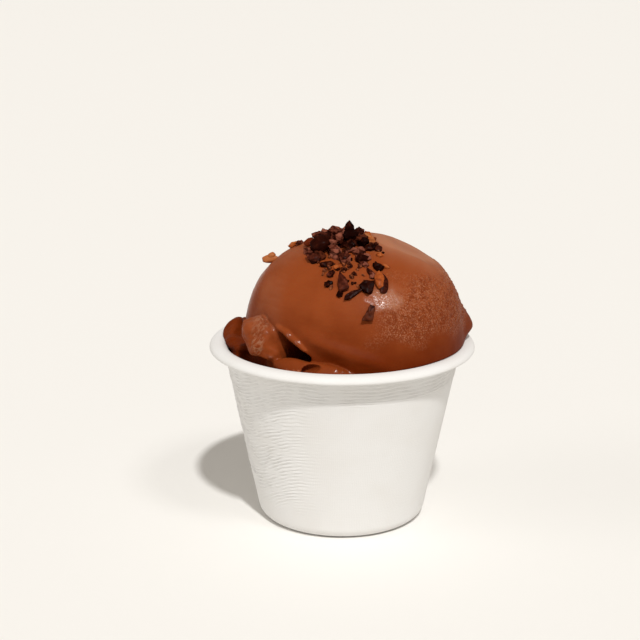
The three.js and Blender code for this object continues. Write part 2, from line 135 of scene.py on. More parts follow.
add_sun("key_light", KEY_RIGHT, KEY_ELEVATION, KEY_STRENGTH, KEY_WIDTH)
add_sun("side_light", SIDE_RIGHT, KEY_ELEVATION, SIDE_STRENGTH, SIDE_WIDTH)
add_sun("fill_light", FILL_RIGHT, FILL_ELEVATION, FILL_STRENGTH, FILL_WIDTH)
add_sky()
bpy.context.scene.view_settings.view_transform = "Standard"
print("key light at", round(math.degrees(KEY_ELEVATION)), "degrees, sky strength", SKY_STRENGTH)

# %% [markdown]
# ## The floor
# The photograph is cut out on white, so the floor is only a plain pale sheet. It catches the cup's soft
# shadow and throws some light back up under the lip. It is no part of the object.

# %% Floor
FLOOR_SIZE = 6000
FLOOR_COLOUR = (0.86, 0.845, 0.815)
FLOOR_ROUGHNESS = 0.9


def add_floor():
    mesh = bpy.data.meshes.new("pale_floor")
    half = FLOOR_SIZE / 2 * MM
    corners = [(-half, -half, 0), (half, -half, 0), (half, half, 0), (-half, half, 0)]
    mesh.from_pydata(corners, [], [(0, 1, 2, 3)])
    floor = bpy.data.objects.new("pale_floor", mesh)
    bpy.context.scene.collection.objects.link(floor)
    paint = bpy.data.materials.new("pale_floor")
    paint.use_nodes = True
    shader = paint.node_tree.nodes["Principled BSDF"]
    shader.inputs["Base Color"].default_value = (*FLOOR_COLOUR, 1)
    shader.inputs["Roughness"].default_value = FLOOR_ROUGHNESS
    mesh.materials.append(paint)


add_floor()
print("floor:", FLOOR_SIZE, "mm wide")

# %% [markdown]
# ## Helpers for points and numbers
# Most pieces here are worked out as arrays of points, because a formula for a whole surface is shorter than
# many single edits. One helper is the soft step that blends one value into another, one is a smooth hill,
# and one gives smooth random lumps of a chosen size at every point. The others turn such arrays into a
# Blender object, read its points and normals, move its points, and store a number at each point for a
# material to read.

# %% Helpers for meshes and numbers
def soft_step(x, low, high):
    t = np.clip((x - low) / (high - low), 0, 1)
    return t * t * (3 - 2 * t)


def hill(away, size):
    """1 in the middle, falling smoothly to almost nothing at twice the size."""
    return np.exp(-((away / size) ** 2))


def lumps(points, size, shift=0.0):
    """Smooth noise between about -1 and 1, with bumps of the given size, at points in millimetres."""
    offset = Vector((shift, 1.7 * shift, -0.6 * shift))
    return np.array([noise.noise(Vector(p) / size + offset) for p in points])


def add_piece(name, points, faces):
    """A smooth-shaded object from points in millimetres and lists of corner numbers."""
    mesh = bpy.data.meshes.new(name)
    mesh.from_pydata((np.asarray(points) * MM).tolist(), [], faces)
    mesh.shade_smooth()
    piece = bpy.data.objects.new(name, mesh)
    bpy.context.scene.collection.objects.link(piece)
    return piece


def points_of(piece):
    flat = np.empty(3 * len(piece.data.vertices), np.float32)
    piece.data.vertices.foreach_get("co", flat)
    return flat.reshape(-1, 3).astype(float) / MM


def normals_of(piece):
    flat = np.empty(3 * len(piece.data.vertices), np.float32)
    piece.data.vertex_normals.foreach_get("vector", flat)
    return flat.reshape(-1, 3).astype(float)


def move_points(piece, points):
    piece.data.vertices.foreach_set("co", (np.asarray(points) * MM).astype(np.float32).ravel())
    piece.data.update()


def mark_points(piece, name, values):
    """Stores one number for each point, for the material to read."""
    layer = piece.data.attributes.new(name, "FLOAT", "POINT")
    layer.data.foreach_set("value", np.asarray(values, np.float32))


print("a soft step half way up gives", float(soft_step(0.5, 0, 1)))

# %% [markdown]
# ## The cup's shape
# The cup is pressed from wet plant fibre over a screen. It is a turned shape: foot, wall, and a lip rolled
# outward. A Screw modifier could spin the section, but the wall also needs its own unevenness, so the
# section is spun here as a grid of points: one ring of points for each point of the section.

# %% Section of the cup
LIP_RADIUS = 38
CREST_RADIUS = 35.2
BASE_RADIUS = 23.7
WALL_SLOPE = 0.2024
WALL = 1.02
LIP_RISE = 2.7
LIP_DROP = 1.8
LIP_SHEET = 0.9
EDGE_RADIUS = 0.5
CORNER = 3.8
FOOT_WIDTH = 2.6
FOOT_RECESS = 1.3
CENTRE_RADIUS = 0.4
WALL_ROWS = 270
WALL_TOP = CUP_HEIGHT - LIP_RISE
WALL_LEAN = math.atan(WALL_SLOPE)
FLOOR = FOOT_RECESS + WALL


def outer_radius(z):
    return BASE_RADIUS + WALL_SLOPE * z


def inner_radius(z):
    return outer_radius(z) - WALL


def line(start, end, steps):
    """Points from the start toward the end, without the end itself."""
    (x, y), (end_x, end_y) = start, end
    return [(x + (end_x - x) * k / steps, y + (end_y - y) * k / steps) for k in range(steps)]


def arc(middle, half_width, half_height, start, end, steps):
    """Points on an ellipse from one angle toward another, in degrees, without the last."""
    turns = [math.radians(start + (end - start) * k / steps) for k in range(steps)]
    return [(middle[0] + half_width * math.cos(t), middle[1] + half_height * math.sin(t)) for t in turns]


def cup_section():
    """Points (radius, height) from the middle of the underside, up outside, over the lip, to the floor."""
    lean = math.degrees(WALL_LEAN)
    foot_outside = outer_radius(CORNER) - CORNER / math.cos(WALL_LEAN)
    foot_inside = foot_outside - FOOT_WIDTH
    edge = CUP_HEIGHT - LIP_DROP
    edge_inside = LIP_RADIUS - 2 * EDGE_RADIUS
    under = CUP_HEIGHT - LIP_SHEET
    inside_corner = CORNER - WALL
    inside_height = FLOOR + inside_corner
    inside_middle = inner_radius(inside_height) - inside_corner / math.cos(WALL_LEAN)
    corner_end = (foot_outside + CORNER * math.cos(WALL_LEAN), CORNER - CORNER * math.sin(WALL_LEAN))
    inner_top = (inner_radius(WALL_TOP), WALL_TOP)
    inner_foot = (
        inside_middle + inside_corner * math.cos(WALL_LEAN),
        inside_height - inside_corner * math.sin(WALL_LEAN),
    )
    crest = (CREST_RADIUS, WALL_TOP)
    crest_edge = (CREST_RADIUS, edge)
    points = line((CENTRE_RADIUS, FOOT_RECESS), (foot_inside - FOOT_RECESS, FOOT_RECESS), 8)
    points += line((foot_inside - FOOT_RECESS, FOOT_RECESS), (foot_inside, 0), 3)
    points += line((foot_inside, 0), (foot_outside, 0), 3)
    points += arc((foot_outside, CORNER), CORNER, CORNER, -90, -lean, 10)
    points += line(corner_end, (outer_radius(WALL_TOP), WALL_TOP), WALL_ROWS)
    points += arc(crest, CREST_RADIUS - outer_radius(WALL_TOP), under - WALL_TOP, 180, 90, 6)
    points += arc(crest_edge, edge_inside - CREST_RADIUS, under - edge, 90, 0, 6)
    points += arc((LIP_RADIUS - EDGE_RADIUS, edge), EDGE_RADIUS, EDGE_RADIUS, 180, 360, 8)
    points += arc(crest_edge, LIP_RADIUS - CREST_RADIUS, CUP_HEIGHT - edge, 0, 90, 12)
    points += arc(crest, CREST_RADIUS - inner_radius(WALL_TOP), LIP_RISE, 90, 180, 12)
    points += line(inner_top, inner_foot, 12)
    points += arc((inside_middle, inside_height), inside_corner, inside_corner, -lean, -90, 6)
    points += line((inside_middle, FLOOR), (CENTRE_RADIUS, FLOOR), 6)
    points.append((CENTRE_RADIUS, FLOOR))
    return np.array(points)


section = cup_section()
print("cup section:", len(section), "points, widest", section[:, 0].max(), "mm from the axis")

# %% [markdown]
# ## The cup's surface
# Moulded fibre is never quite even. The wall swells and sinks by a few hundredths of a millimetre over a
# couple of centimetres, and the press screen leaves ripples about a millimetre apart. They are level at the
# far left, climb further on and break into short ridges, and show again under the lip. Both are real relief
# here, because low light from the side shows them. Each ring has its points crowded together at the front
# left, where the ripples are, so that they stay crisp. The much finer weave of the screen is left to the
# material.

# %% Spin the cup
CUP_SEGMENTS = 252
CROWDING = 0.45
CROWDED_TURN = math.radians(225)
WALL_UNEVEN = 0.04
WALL_UNEVEN_SIZE = 18
RIPPLE_HEIGHT = 1.05
RIPPLE_DEPTH = 0.14
RIPPLE_CLIMB = 7.0
RIPPLE_CLIMB_AROUND = (-66, -22)
RIPPLE_START = (-150, -120)
RIPPLE_END = (-46, -8)
RIPPLE_FOOT = (5, 14)
RIPPLE_LIP = (WALL_TOP - 8, WALL_TOP - 6.5)
RIPPLE_AT_SIDE = 1.1
RIPPLE_AT_LIP = 0.75
RIPPLE_ELSEWHERE = 0.05


def spin(section, segments):
    """The points and faces of a turned shape, with each ring crowded toward one side."""
    turns = np.linspace(0, 2 * np.pi, segments, endpoint=False)
    turns = turns - CROWDING * np.sin(turns - CROWDED_TURN)
    radius, height = section[:, 0, None], section[:, 1, None]
    grid = np.stack([radius * np.cos(turns), radius * np.sin(turns), height + 0 * turns], axis=-1)
    rows = np.arange(len(section))[:, None] * segments
    here, after = np.arange(segments), (np.arange(segments) + 1) % segments
    low, high = rows[:-1], rows[1:]
    corners = [low + here, low + after, high + after, high + here]
    quads = np.stack(corners, axis=-1).reshape(-1, 4).tolist()
    underside = list(range(segments))[::-1]
    floor = [rows[-1, 0] + k for k in range(segments)]
    return grid.reshape(-1, 3), quads + [underside, floor]


def ripples(points):
    """The press screen's print: level at the far left, climbing further on, and broken into short ridges."""
    x, y, z = points.T
    azimuth = np.degrees(np.arctan2(x, -y))
    side = soft_step(azimuth, *RIPPLE_START) * (1 - soft_step(azimuth, *RIPPLE_END))
    side = side * soft_step(z, *RIPPLE_FOOT)
    strength = np.maximum(RIPPLE_AT_SIDE * side, RIPPLE_AT_LIP * soft_step(z, *RIPPLE_LIP))
    climb = RIPPLE_CLIMB * soft_step(azimuth, *RIPPLE_CLIMB_AROUND)
    wander = 0.4 * lumps(points, 9.0, 6.0) + 0.3 * lumps(points, 3.4, 8.0) + 0.2 * lumps(points, 1.8, 3.0)
    phase = 2 * np.pi * (z - climb + wander) / RIPPLE_HEIGHT
    patches = np.clip(0.65 + 1.6 * lumps(points, 1.9, 9.0) + 0.5 * lumps(points, 6.0, 2.0), 0, 1.25)
    return np.sin(phase + 0.5 * np.sin(phase)) * patches * (RIPPLE_ELSEWHERE + strength)


def wall_relief(points):
    """How far the fibre stands out of the true wall, gone at lip and foot."""
    z = points[:, 2]
    share = soft_step(z, 1.5, 9) * (1 - soft_step(z, WALL_TOP - 3, WALL_TOP))
    return share * (WALL_UNEVEN * lumps(points, WALL_UNEVEN_SIZE) + RIPPLE_DEPTH * ripples(points))


def make_cup():
    points, faces = spin(section, CUP_SEGMENTS)
    radius = np.hypot(points[:, 0], points[:, 1])
    outside = radius > outer_radius(points[:, 2]) - 0.4 * WALL
    push = np.where(outside, wall_relief(points), 0)
    points[:, :2] *= (1 + push / np.maximum(radius, 1))[:, None]
    return add_piece("fibre_cup", points, faces)


cup = make_cup()
print("cup:", len(cup.data.polygons), "faces")

# %% [markdown]
# ## Helpers for materials
# A material is a tree of nodes. To add a node, set its values and link it takes several lines in Blender,
# and every material here does that many times. These helpers take one line each: any node, a colour ramp,
# noise, two values joined into one, and a value moved from one range into another.

# %% Helpers for nodes
def new_material(name):
    material = bpy.data.materials.new(name)
    material.use_nodes = True
    return material, material.node_tree, material.node_tree.nodes["Principled BSDF"]


def add_node(tree, kind, links=None, **settings):
    """Adds a node, sets plain values by socket or property name, and links the given sockets."""
    node = tree.nodes.new(kind)
    for key, value in settings.items():
        if key in node.bl_rna.properties:
            setattr(node, key, value)
        else:
            node.inputs[key.replace("_", " ")].default_value = value
    for socket, source in (links or {}).items():
        tree.links.new(source, node.inputs[socket])
    return node


def ramp(tree, source, *stops):
    """A colour ramp from (place, colour) stops."""
    node = add_node(tree, "ShaderNodeValToRGB", {"Fac": source})
    while len(node.color_ramp.elements) < len(stops):
        node.color_ramp.elements.new(0.5)
    for element, (place, colour) in zip(node.color_ramp.elements, stops):
        element.position = place
        element.color = (*colour, 1)
    return node.outputs["Color"]


def noise_at(tree, place, **settings):
    return add_node(tree, "ShaderNodeTexNoise", {"Vector": place}, **settings).outputs["Fac"]


def combine(tree, operation, first, second, **settings):
    """Two linked values joined into one, such as their sum or the larger of them."""
    links = {0: first, 1: second}
    return add_node(tree, "ShaderNodeMath", links, operation=operation, **settings).outputs[0]


def product(tree, first, second):
    return combine(tree, "MULTIPLY", first, second)


def rescale(tree, source, low, high, to_low=0.0, to_high=1.0):
    """A value between low and high, moved into another range."""
    ranges = dict(From_Min=low, From_Max=high, To_Min=to_low, To_Max=to_high)
    return add_node(tree, "ShaderNodeMapRange", {"Value": source}, **ranges).outputs["Result"]


print("node helpers:", ", ".join(helper.__name__ for helper in (add_node, ramp, noise_at, combine, rescale)))

# %% [markdown]
# ## A coat for the cup
# Pulp is matt, a warm white, and slightly cloudy. A fine woven screen is printed into it at about half a
# millimetre. Two Wave textures, one round the cup and one up it, are multiplied to make that weave, and
# Noise breaks it up. The coordinates are unrolled from the cup's own angle and height, so the weave follows
# the wall.

# %% Fibre material
FIBRE_WARM = (0.758, 0.744, 0.722)
FIBRE_WHITE = (0.778, 0.769, 0.754)
WEAVE_PITCH = 0.55
WAVE_REPEAT = 0.314  # a Wave texture of Scale 1 repeats after this length


def unroll_cup(piece):
    """A UV map in millimetres: the way round the cup and the height."""
    points = points_of(piece)
    turn = np.arctan2(points[:, 1], points[:, 0])
    layer = piece.data.uv_layers.new(name="unrolled")
    corners = np.empty(len(piece.data.loops), np.int32)
    piece.data.loops.foreach_get("vertex_index", corners)
    around = turn[corners] * outer_radius(CUP_HEIGHT / 2)
    unrolled = np.stack([around, points[corners, 2]], axis=-1)
    layer.data.foreach_set("uv", unrolled.astype(np.float32).ravel())


def weave_waves(tree, place):
    """The two sets of threads in the press screen."""
    waves = []
    for bands in ("X", "Y"):
        wave = add_node(
            tree, "ShaderNodeTexWave", {"Vector": place}, bands_direction=bands,
            Scale=WAVE_REPEAT / WEAVE_PITCH, Distortion=4.0, Detail=3.0, Detail_Scale=1.2,
        )
        waves.append(wave.outputs["Fac"])
    return waves


def fibre_material():
    material, tree, shader = new_material("moulded_fibre")
    place = add_node(tree, "ShaderNodeTexCoord").outputs
    cloud = noise_at(tree, place["Object"], Scale=90.0, Detail=6.0)
    colour = ramp(tree, cloud, (0.3, FIBRE_WARM), (0.6, FIBRE_WHITE))
    tree.links.new(colour, shader.inputs["Base Color"])
    weave = product(tree, *weave_waves(tree, place["UV"]))
    fuzz = noise_at(tree, place["Object"], Scale=1800.0, Detail=4.0)
    relief = combine(tree, "ADD", weave, fuzz)
    bump = add_node(tree, "ShaderNodeBump", {"Height": relief}, Strength=0.16, Distance=0.0001)
    tree.links.new(bump.outputs["Normal"], shader.inputs["Normal"])
    shader.inputs["Roughness"].default_value = 0.82
    shader.inputs["Specular IOR Level"].default_value = 0.3
    return material


unroll_cup(cup)
cup.data.materials.append(fibre_material())
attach(cup, "root")
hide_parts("cup")
print("cup coat:", [m.name for m in cup.data.materials])

# %% [markdown]
# ## The sorbet as a field
# Soft frozen food has no edges to model: the scoop, the chunk beside it and the rolls along the rim melt
# into each other. So the sorbet is written as a field, a number at every point of space that is negative
# inside and positive outside. Two fields are joined by a soft minimum, which leaves a small fillet, and the
# skin is where the field is zero. First comes the scoop: its distance from its own middle, in every
# direction. It is a ball with a flatter crown, a fuller shoulder, slow waves, and a slightly uneven facet
# that is cut off at the top right.

# %% The scoop's own form
SCOOP_MIDDLE = np.array([3.7, 0.2, 51.8])
SCOOP_RADIUS = 31.7
CROWN_FLAT = 0.9
CROWN_FROM = 48
CROWN_TO = 88
SHOULDER = 1.0
SHOULDER_ELEVATION = 36
SHOULDER_WIDTH = 22
BALL_WAVES = 0.45
FACET_AZIMUTH = 97
FACET_ELEVATION = 63
FACET_DISTANCE = 30.45
FACET_WAVE = 0.12
FACET_SOFT = 0.3


def direction(azimuth, elevation):
    """Unit vectors from degrees: azimuth from the front, positive to the right."""
    a, e = np.radians(azimuth), np.radians(elevation)
    return np.stack([np.sin(a) * np.cos(e), -np.cos(a) * np.cos(e), np.sin(e)], axis=-1)


def soft_min(a, b, width):
    """The smaller of two numbers, rounded off where they are within the width of each other."""
    share = np.clip(0.5 + 0.5 * (b - a) / width, 0, 1)
    return b + (a - b) * share - width * share * (1 - share)


def soft_max(a, b, width):
    return -soft_min(-a, -b, width)


def ball_radius(azimuth, elevation):
    a, e = np.radians(azimuth), np.radians(elevation)
    crown = CROWN_FLAT * soft_step(elevation, CROWN_FROM, CROWN_TO)
    shoulder = SHOULDER * hill(elevation - SHOULDER_ELEVATION, SHOULDER_WIDTH)
    waves = np.sin(2 * a + 0.7) * np.cos(2 * e) + 0.6 * np.sin(3 * a - 2 * e)
    radius = SCOOP_RADIUS - crown + shoulder + BALL_WAVES * np.cos(e) * waves
    outward = direction(azimuth, elevation)
    toward = outward @ direction(FACET_AZIMUTH, FACET_ELEVATION)
    uneven = np.sin(11 * outward[..., 1] + 1) + np.sin(13 * outward[..., 0] - 7 * outward[..., 2])
    facet = (FACET_DISTANCE + FACET_WAVE * uneven) / np.maximum(toward, 0.3)
    return soft_min(radius, facet, FACET_SOFT)


left_shoulder = float(ball_radius(-90, SHOULDER_ELEVATION))
print("scoop radius at the left shoulder:", round(left_shoulder, 2), "mm")

# %% [markdown]
# ## The scoop's collar, free edge and fold
# Low at the right and behind, the scoop squeezed out a bulge over the rim. At the front left its edge hangs
# free, with a dark hollow under it. The edge carries on to the right as a soft fold, with a shallow groove
# above it and a slight undercut below it. All of these only change the distance from the scoop's middle, so
# they are added to the ball. Each has a window of azimuths, given by a start, an end and a fade in degrees.

# %% Collar, free edge and fold
COLLAR_DEPTH = 2.9
COLLAR_MIDDLE = 5.0
COLLAR_ABOVE = 9.0
COLLAR_BELOW = 3.4
COLLAR_WAVE = 1.6
COLLAR_WINDOW = (76, 235, 18)
EDGE_AZIMUTH = -27
EDGE_ELEVATION = 8.3
EDGE_SLOPE = -0.55
HOLLOW_DEPTH = 13.0
HOLLOW_SOFT = 1.6
HOLLOW_WINDOW = (-45, -22.5, 7)
FOLD_AZIMUTH = -10
FOLD_ELEVATION = 10.8
FOLD_SLOPE = -0.32
FOLD_HEIGHT = 0.75
FOLD_WIDTH = 3.2
FOLD_GROOVE = 0.3
FOLD_GROOVE_UP = 5.5
FOLD_WINDOW = (-34, 22, 14)
UNDERCUT = 1.2
UNDERCUT_REACH = (1, 8)
UNDERCUT_WINDOW = (-30, 2, 12)


def between(x, start, end, fade):
    """1 between start and end, falling softly to 0 over the fade inside both."""
    return soft_step(x, start, start + fade) * (1 - soft_step(x, end - fade, end))


def edge_elevation(azimuth):
    return EDGE_ELEVATION + EDGE_SLOPE * (azimuth - EDGE_AZIMUTH)


def collar_depth(azimuth, elevation):
    around = azimuth % 360
    middle = COLLAR_MIDDLE + COLLAR_WAVE * np.sin(5 * np.radians(azimuth))
    away = elevation - middle
    bulge = hill(away, np.where(away > 0, COLLAR_ABOVE, COLLAR_BELOW))
    return COLLAR_DEPTH * bulge * between(around, *COLLAR_WINDOW)


def edge_depth(azimuth, elevation):
    below = edge_elevation(azimuth) - elevation
    hollow = HOLLOW_DEPTH * soft_step(below, 0, HOLLOW_SOFT) * between(azimuth, *HOLLOW_WINDOW)
    above = elevation - FOLD_ELEVATION - FOLD_SLOPE * (azimuth - FOLD_AZIMUTH)
    fold = FOLD_HEIGHT * hill(above, FOLD_WIDTH) - FOLD_GROOVE * hill(above - FOLD_GROOVE_UP, FOLD_WIDTH)
    undercut = UNDERCUT * soft_step(-above, *UNDERCUT_REACH) * between(azimuth, *UNDERCUT_WINDOW)
    return fold * between(azimuth, *FOLD_WINDOW) - undercut - hollow


def scoop_radius(azimuth, elevation):
    squeezed_out = collar_depth(azimuth, elevation)
    return ball_radius(azimuth, elevation) + squeezed_out + edge_depth(azimuth, elevation)


def angles_from(middle, x, y, z):
    """Distance, azimuth and elevation of points, seen from a middle."""
    dx, dy, dz = x - middle[0], y - middle[1], z - middle[2]
    distance = np.sqrt(dx * dx + dy * dy + dz * dz)
    elevation = np.degrees(np.arcsin(dz / np.maximum(distance, 1e-6)))
    return distance, np.degrees(np.arctan2(dx, -dy)), elevation


print("free edge rises from", round(edge_elevation(-20), 1), "to", round(edge_elevation(-50), 1), "degrees")

# %% [markdown]
# ## The raised lip of the free edge
# Where the scoop tore free, its edge curled up into a thin shiny lip. It is a bent tube along the edge that
# swells from nothing and shrinks to nothing again, joined softly to the ball.

# %% Lip of the free edge
TORN_LIP_START = -46.5
TORN_LIP_END = -24.5
TORN_LIP_HIGH = 18.0
TORN_LIP_LOW = 8.2
TORN_LIP_ARCH = 1.7
TORN_LIP_THICK = 0.82
TORN_LIP_WAVE = 0.12
TORN_LIP_TAPER = 0.22
TORN_LIP_END_GAP = 0.8


def torn_lip_path(azimuth):
    """How far along the lip an azimuth is, from 0 to 1, how near its middle, and the elevation there."""
    share = np.clip((azimuth - TORN_LIP_START) / (TORN_LIP_END - TORN_LIP_START), 0, 1)
    arch = np.maximum(np.sin(np.pi * share), 0)
    return share, arch, TORN_LIP_HIGH + (TORN_LIP_LOW - TORN_LIP_HIGH) * share + TORN_LIP_ARCH * arch


def torn_lip_field(distance, azimuth, elevation):
    share, arch, middle = torn_lip_path(azimuth)
    thick = (TORN_LIP_THICK + TORN_LIP_END_GAP) * arch**TORN_LIP_TAPER - TORN_LIP_END_GAP
    thick += TORN_LIP_WAVE * np.sin(17 * share) * arch
    slope = (TORN_LIP_LOW - TORN_LIP_HIGH) / (TORN_LIP_END - TORN_LIP_START)
    across = np.radians(elevation - middle) * SCOOP_RADIUS * math.cos(math.atan(slope))
    outward = distance - ball_radius(azimuth, elevation)
    return np.sqrt(across**2 + outward**2) - thick


print("torn lip:", round(SCOOP_RADIUS * math.radians(TORN_LIP_END - TORN_LIP_START), 1), "mm long")

# %% [markdown]
# ## The masses beside the scoop
# Each mass is an egg that is bent along the rim. Seen from the cup's axis, it has a middle azimuth and half
# a span, a distance and a height that drift along it, and an oval section that swells and shrinks a little.
# Two of them are cut out instead of added: a gap at the rim, and a small burst bubble.

# %% Bent eggs
MASSES = {
    "left_roll": dict(
        azimuth=-104, span=40, radius=30.2, drift=-1.2, height=50.6, rise=0.4,
        wide=4.4, tall=4.2, rough=0.16),
    "front_roll": dict(
        azimuth=-13.5, span=25.5, radius=30.2, drift=0.6, height=50.0, rise=-1.5,
        wide=3.6, tall=4.0, rough=0.06),
    "rim_gap": dict(
        azimuth=-52, span=17, radius=31.2, drift=0.8, height=50.2, rise=-0.4,
        wide=4.6, tall=3.5, rough=0.08),
    "bubble": dict(
        azimuth=-15.5, span=5.2, radius=32.0, drift=0.3, height=52.3, rise=0.8,
        wide=1.8, tall=1.4, rough=0.0),
}


def egg_field(x, y, z, egg):
    azimuth = np.degrees(np.arctan2(x, -y))
    along = ((azimuth - egg["azimuth"] + 540) % 360 - 180) / egg["span"]
    out = (np.sqrt(x * x + y * y) - egg["radius"] - egg["drift"] * along) / egg["wide"]
    up = (z - egg["height"] - egg["rise"] * along) / egg["tall"]
    swell = 1 + egg["rough"] * (np.sin(7 * along + 0.05 * egg["azimuth"]) + np.sin(-4 * out - 3 * up))
    away = np.sqrt(along**2 + (out / swell) ** 2 + (up / swell) ** 2)
    return (away - 1) * min(egg["wide"], egg["tall"])


print("masses:", ", ".join(MASSES))

# %% [markdown]
# ## The chunk
# A chunk broke off at the front left and leans against the scoop. It is blunter than an egg, a leaning
# block with well-rounded corners. Powers a little above two give that, where squares would give an ellipse.
# Its face tips back, so places on it are measured to the right, up the face and out of it.

# %% The chunk
CHUNK_MIDDLE = (-21.2, -18.6, 56.4)
CHUNK_WIDE = 5.45
CHUNK_TALL = 6.75
CHUNK_DEEP = 5.0
CHUNK_LEAN = 0.30
CHUNK_SLOPE = 0.12
CHUNK_BACK = math.radians(20)
CHUNK_LUMP = 0.18
CHUNK_CORNER = 2.9


def on_chunk(x, y, z):
    """How far points lie to the right of the chunk's middle, up its face, and out of its face."""
    right, back, up = x - CHUNK_MIDDLE[0], y - CHUNK_MIDDLE[1], z - CHUNK_MIDDLE[2]
    up_face = back * math.sin(CHUNK_BACK) + up * math.cos(CHUNK_BACK)
    out = up * math.sin(CHUNK_BACK) - back * math.cos(CHUNK_BACK)
    return right, up_face, out


def chunk_field(x, y, z):
    right, up, out = on_chunk(x, y, z)
    leaning = right + CHUNK_LEAN * up
    sloping = up + CHUNK_SLOPE * right
    face = np.abs(leaning / CHUNK_WIDE) ** CHUNK_CORNER + np.abs(sloping / CHUNK_TALL) ** CHUNK_CORNER
    face = face ** (2 / CHUNK_CORNER)
    block = np.sqrt(face + (out / CHUNK_DEEP) ** 2)
    swells = np.sin(1.1 * right + 0.5 * up) + np.sin(0.9 * up - 0.6 * out + 1)
    swells = swells + np.sin(0.8 * right - 0.9 * up + 2)
    return (block - 1) * CHUNK_WIDE - CHUNK_LUMP * swells


print("chunk:", 2 * CHUNK_WIDE, "mm wide and", 2 * CHUNK_TALL, "mm tall")

# %% [markdown]
# ## Bed, cup and the whole field
# Under everything lies a bed of sorbet with a wavy top. The cup's hollow cuts all of it off, so the sorbet
# touches the wall and the lip but never runs into them.

# %% The whole field
BED_LEVEL = 49.6
BED_WAVE = 0.7
BED_WAVE_WIDE = 27
BED_WAVE_DEEP = 33
TOUCH_GAP = 0.04
FILLET = dict(torn_lip=0.8, chunk=0.5, left_roll=1.0, bed=1.2, rim_gap=0.6, front_roll=0.4, bubble=0.25)


def bed_field(x, y, z):
    waves = np.sin(2 * np.pi * x / BED_WAVE_WIDE) * np.cos(2 * np.pi * y / BED_WAVE_DEEP)
    return z - (BED_LEVEL + BED_WAVE * waves)


def cup_field(x, y, z):
    """Negative where the cup leaves room: inside the wall, or above the lip."""
    radius = np.sqrt(x * x + y * y)
    inside = radius - (inner_radius(z) - TOUCH_GAP)
    inward = np.clip((CREST_RADIUS - radius) / (CREST_RADIUS - inner_radius(WALL_TOP)), 0, 1)
    outward = np.clip((radius - CREST_RADIUS) / (LIP_RADIUS - CREST_RADIUS), 0, 1)
    lip = np.where(
        radius < CREST_RADIUS,
        WALL_TOP + LIP_RISE * np.sqrt(1 - inward**2),
        CUP_HEIGHT - LIP_DROP + LIP_DROP * np.sqrt(1 - outward**2),
    )
    return np.minimum(inside, lip + TOUCH_GAP - z)


def sorbet_field(x, y, z):
    eggs = {name: egg_field(x, y, z, egg) for name, egg in MASSES.items()}
    distance, azimuth, elevation = angles_from(SCOOP_MIDDLE, x, y, z)
    field = distance - scoop_radius(azimuth, elevation)
    field = soft_min(field, torn_lip_field(distance, azimuth, elevation), FILLET["torn_lip"])
    field = soft_min(field, chunk_field(x, y, z), FILLET["chunk"])
    field = soft_min(field, eggs["left_roll"], FILLET["left_roll"])
    field = soft_min(field, bed_field(x, y, z), FILLET["bed"])
    field = soft_max(field, -eggs["rim_gap"], FILLET["rim_gap"])
    field = soft_min(field, eggs["front_roll"], FILLET["front_roll"])
    field = soft_max(field, -eggs["bubble"], FILLET["bubble"])
    return np.maximum(field, cup_field(x, y, z))


print("field at the scoop's middle:", round(float(sorbet_field(*SCOOP_MIDDLE)), 1))

# %% [markdown]
# ## From field to skin
# The field is sampled on a grid of small cells, and OpenVDB, which comes with Blender, finds the surface of
# zero as quads. Only the part that shows above the cup gets this fine skin. Its open lower edge is then
# drawn down the inside of the cup in a few wide rings and closed at the bottom, so the sorbet stays one
# closed body.

# %% Skin of the sorbet
CELL = 0.38
GRID_LOW = np.array([-37.4, -34.6, 44.6])
GRID_HIGH = np.array([39.6, 36.4, 86.2])
SKIN_BOTTOM = 46.2
PLUG_RINGS = (44.0, 30.0, 15.0, 7.0, 3.2)
PLUG_GAP = 0.1


def field_skin():
    axes = [np.arange(low, high, CELL, dtype=np.float32) for low, high in zip(GRID_LOW, GRID_HIGH)]
    x, y, z = np.meshgrid(*axes, indexing="ij", sparse=True)
    grid = openvdb.FloatGrid()
    grid.copyFromArray(sorbet_field(x, y, z).astype(np.float32))
    points, quads = grid.convertToQuads(0.0)
    points = GRID_LOW + CELL * points.astype(float)
    kept = quads[points[quads][:, :, 2].min(axis=1) > SKIN_BOTTOM]
    used, faces = np.unique(kept, return_inverse=True)
    return points[used], faces.reshape(-1, 4)


def close_below(piece):
    """Draws the open lower edge down inside the cup, ring by ring, and closes it at the bottom."""
    body = bmesh.new()
    body.from_mesh(piece.data)
    rim = [edge for edge in body.edges if edge.is_boundary]
    for height in PLUG_RINGS:
        made = bmesh.ops.extrude_edge_only(body, edges=rim)["geom"]
        ring = {item for item in made if isinstance(item, bmesh.types.BMVert)}
        rim = [item for item in made if isinstance(item, bmesh.types.BMEdge) and set(item.verts) <= ring]
        reach = (inner_radius(height) - PLUG_GAP - max(0, CORNER - (height - FLOOR))) * MM
        for point in ring:
            point.co.xy = point.co.xy.normalized() * reach
            point.co.z = height * MM
    bmesh.ops.edgeloop_fill(body, edges=rim)
    bmesh.ops.recalc_face_normals(body, faces=body.faces)
    body.to_mesh(piece.data)
    body.free()
    piece.data.shade_smooth()


skin_points, skin_faces = field_skin()
sorbet = add_piece("sorbet_body", skin_points, skin_faces.tolist())
close_below(sorbet)
print("sorbet skin:", len(sorbet.data.polygons), "faces")

# %% [markdown]
# ## Icy places
# The left of the scoop is smooth, where the scoop's edge slid over it. Along the right runs a grainy band
# full of small ice crystals, and at its upper corner a patch of wet crystals sparkles. Each point of the
# skin gets a number for both. The same numbers drive the small relief here and the gloss in the material,
# so the two agree.

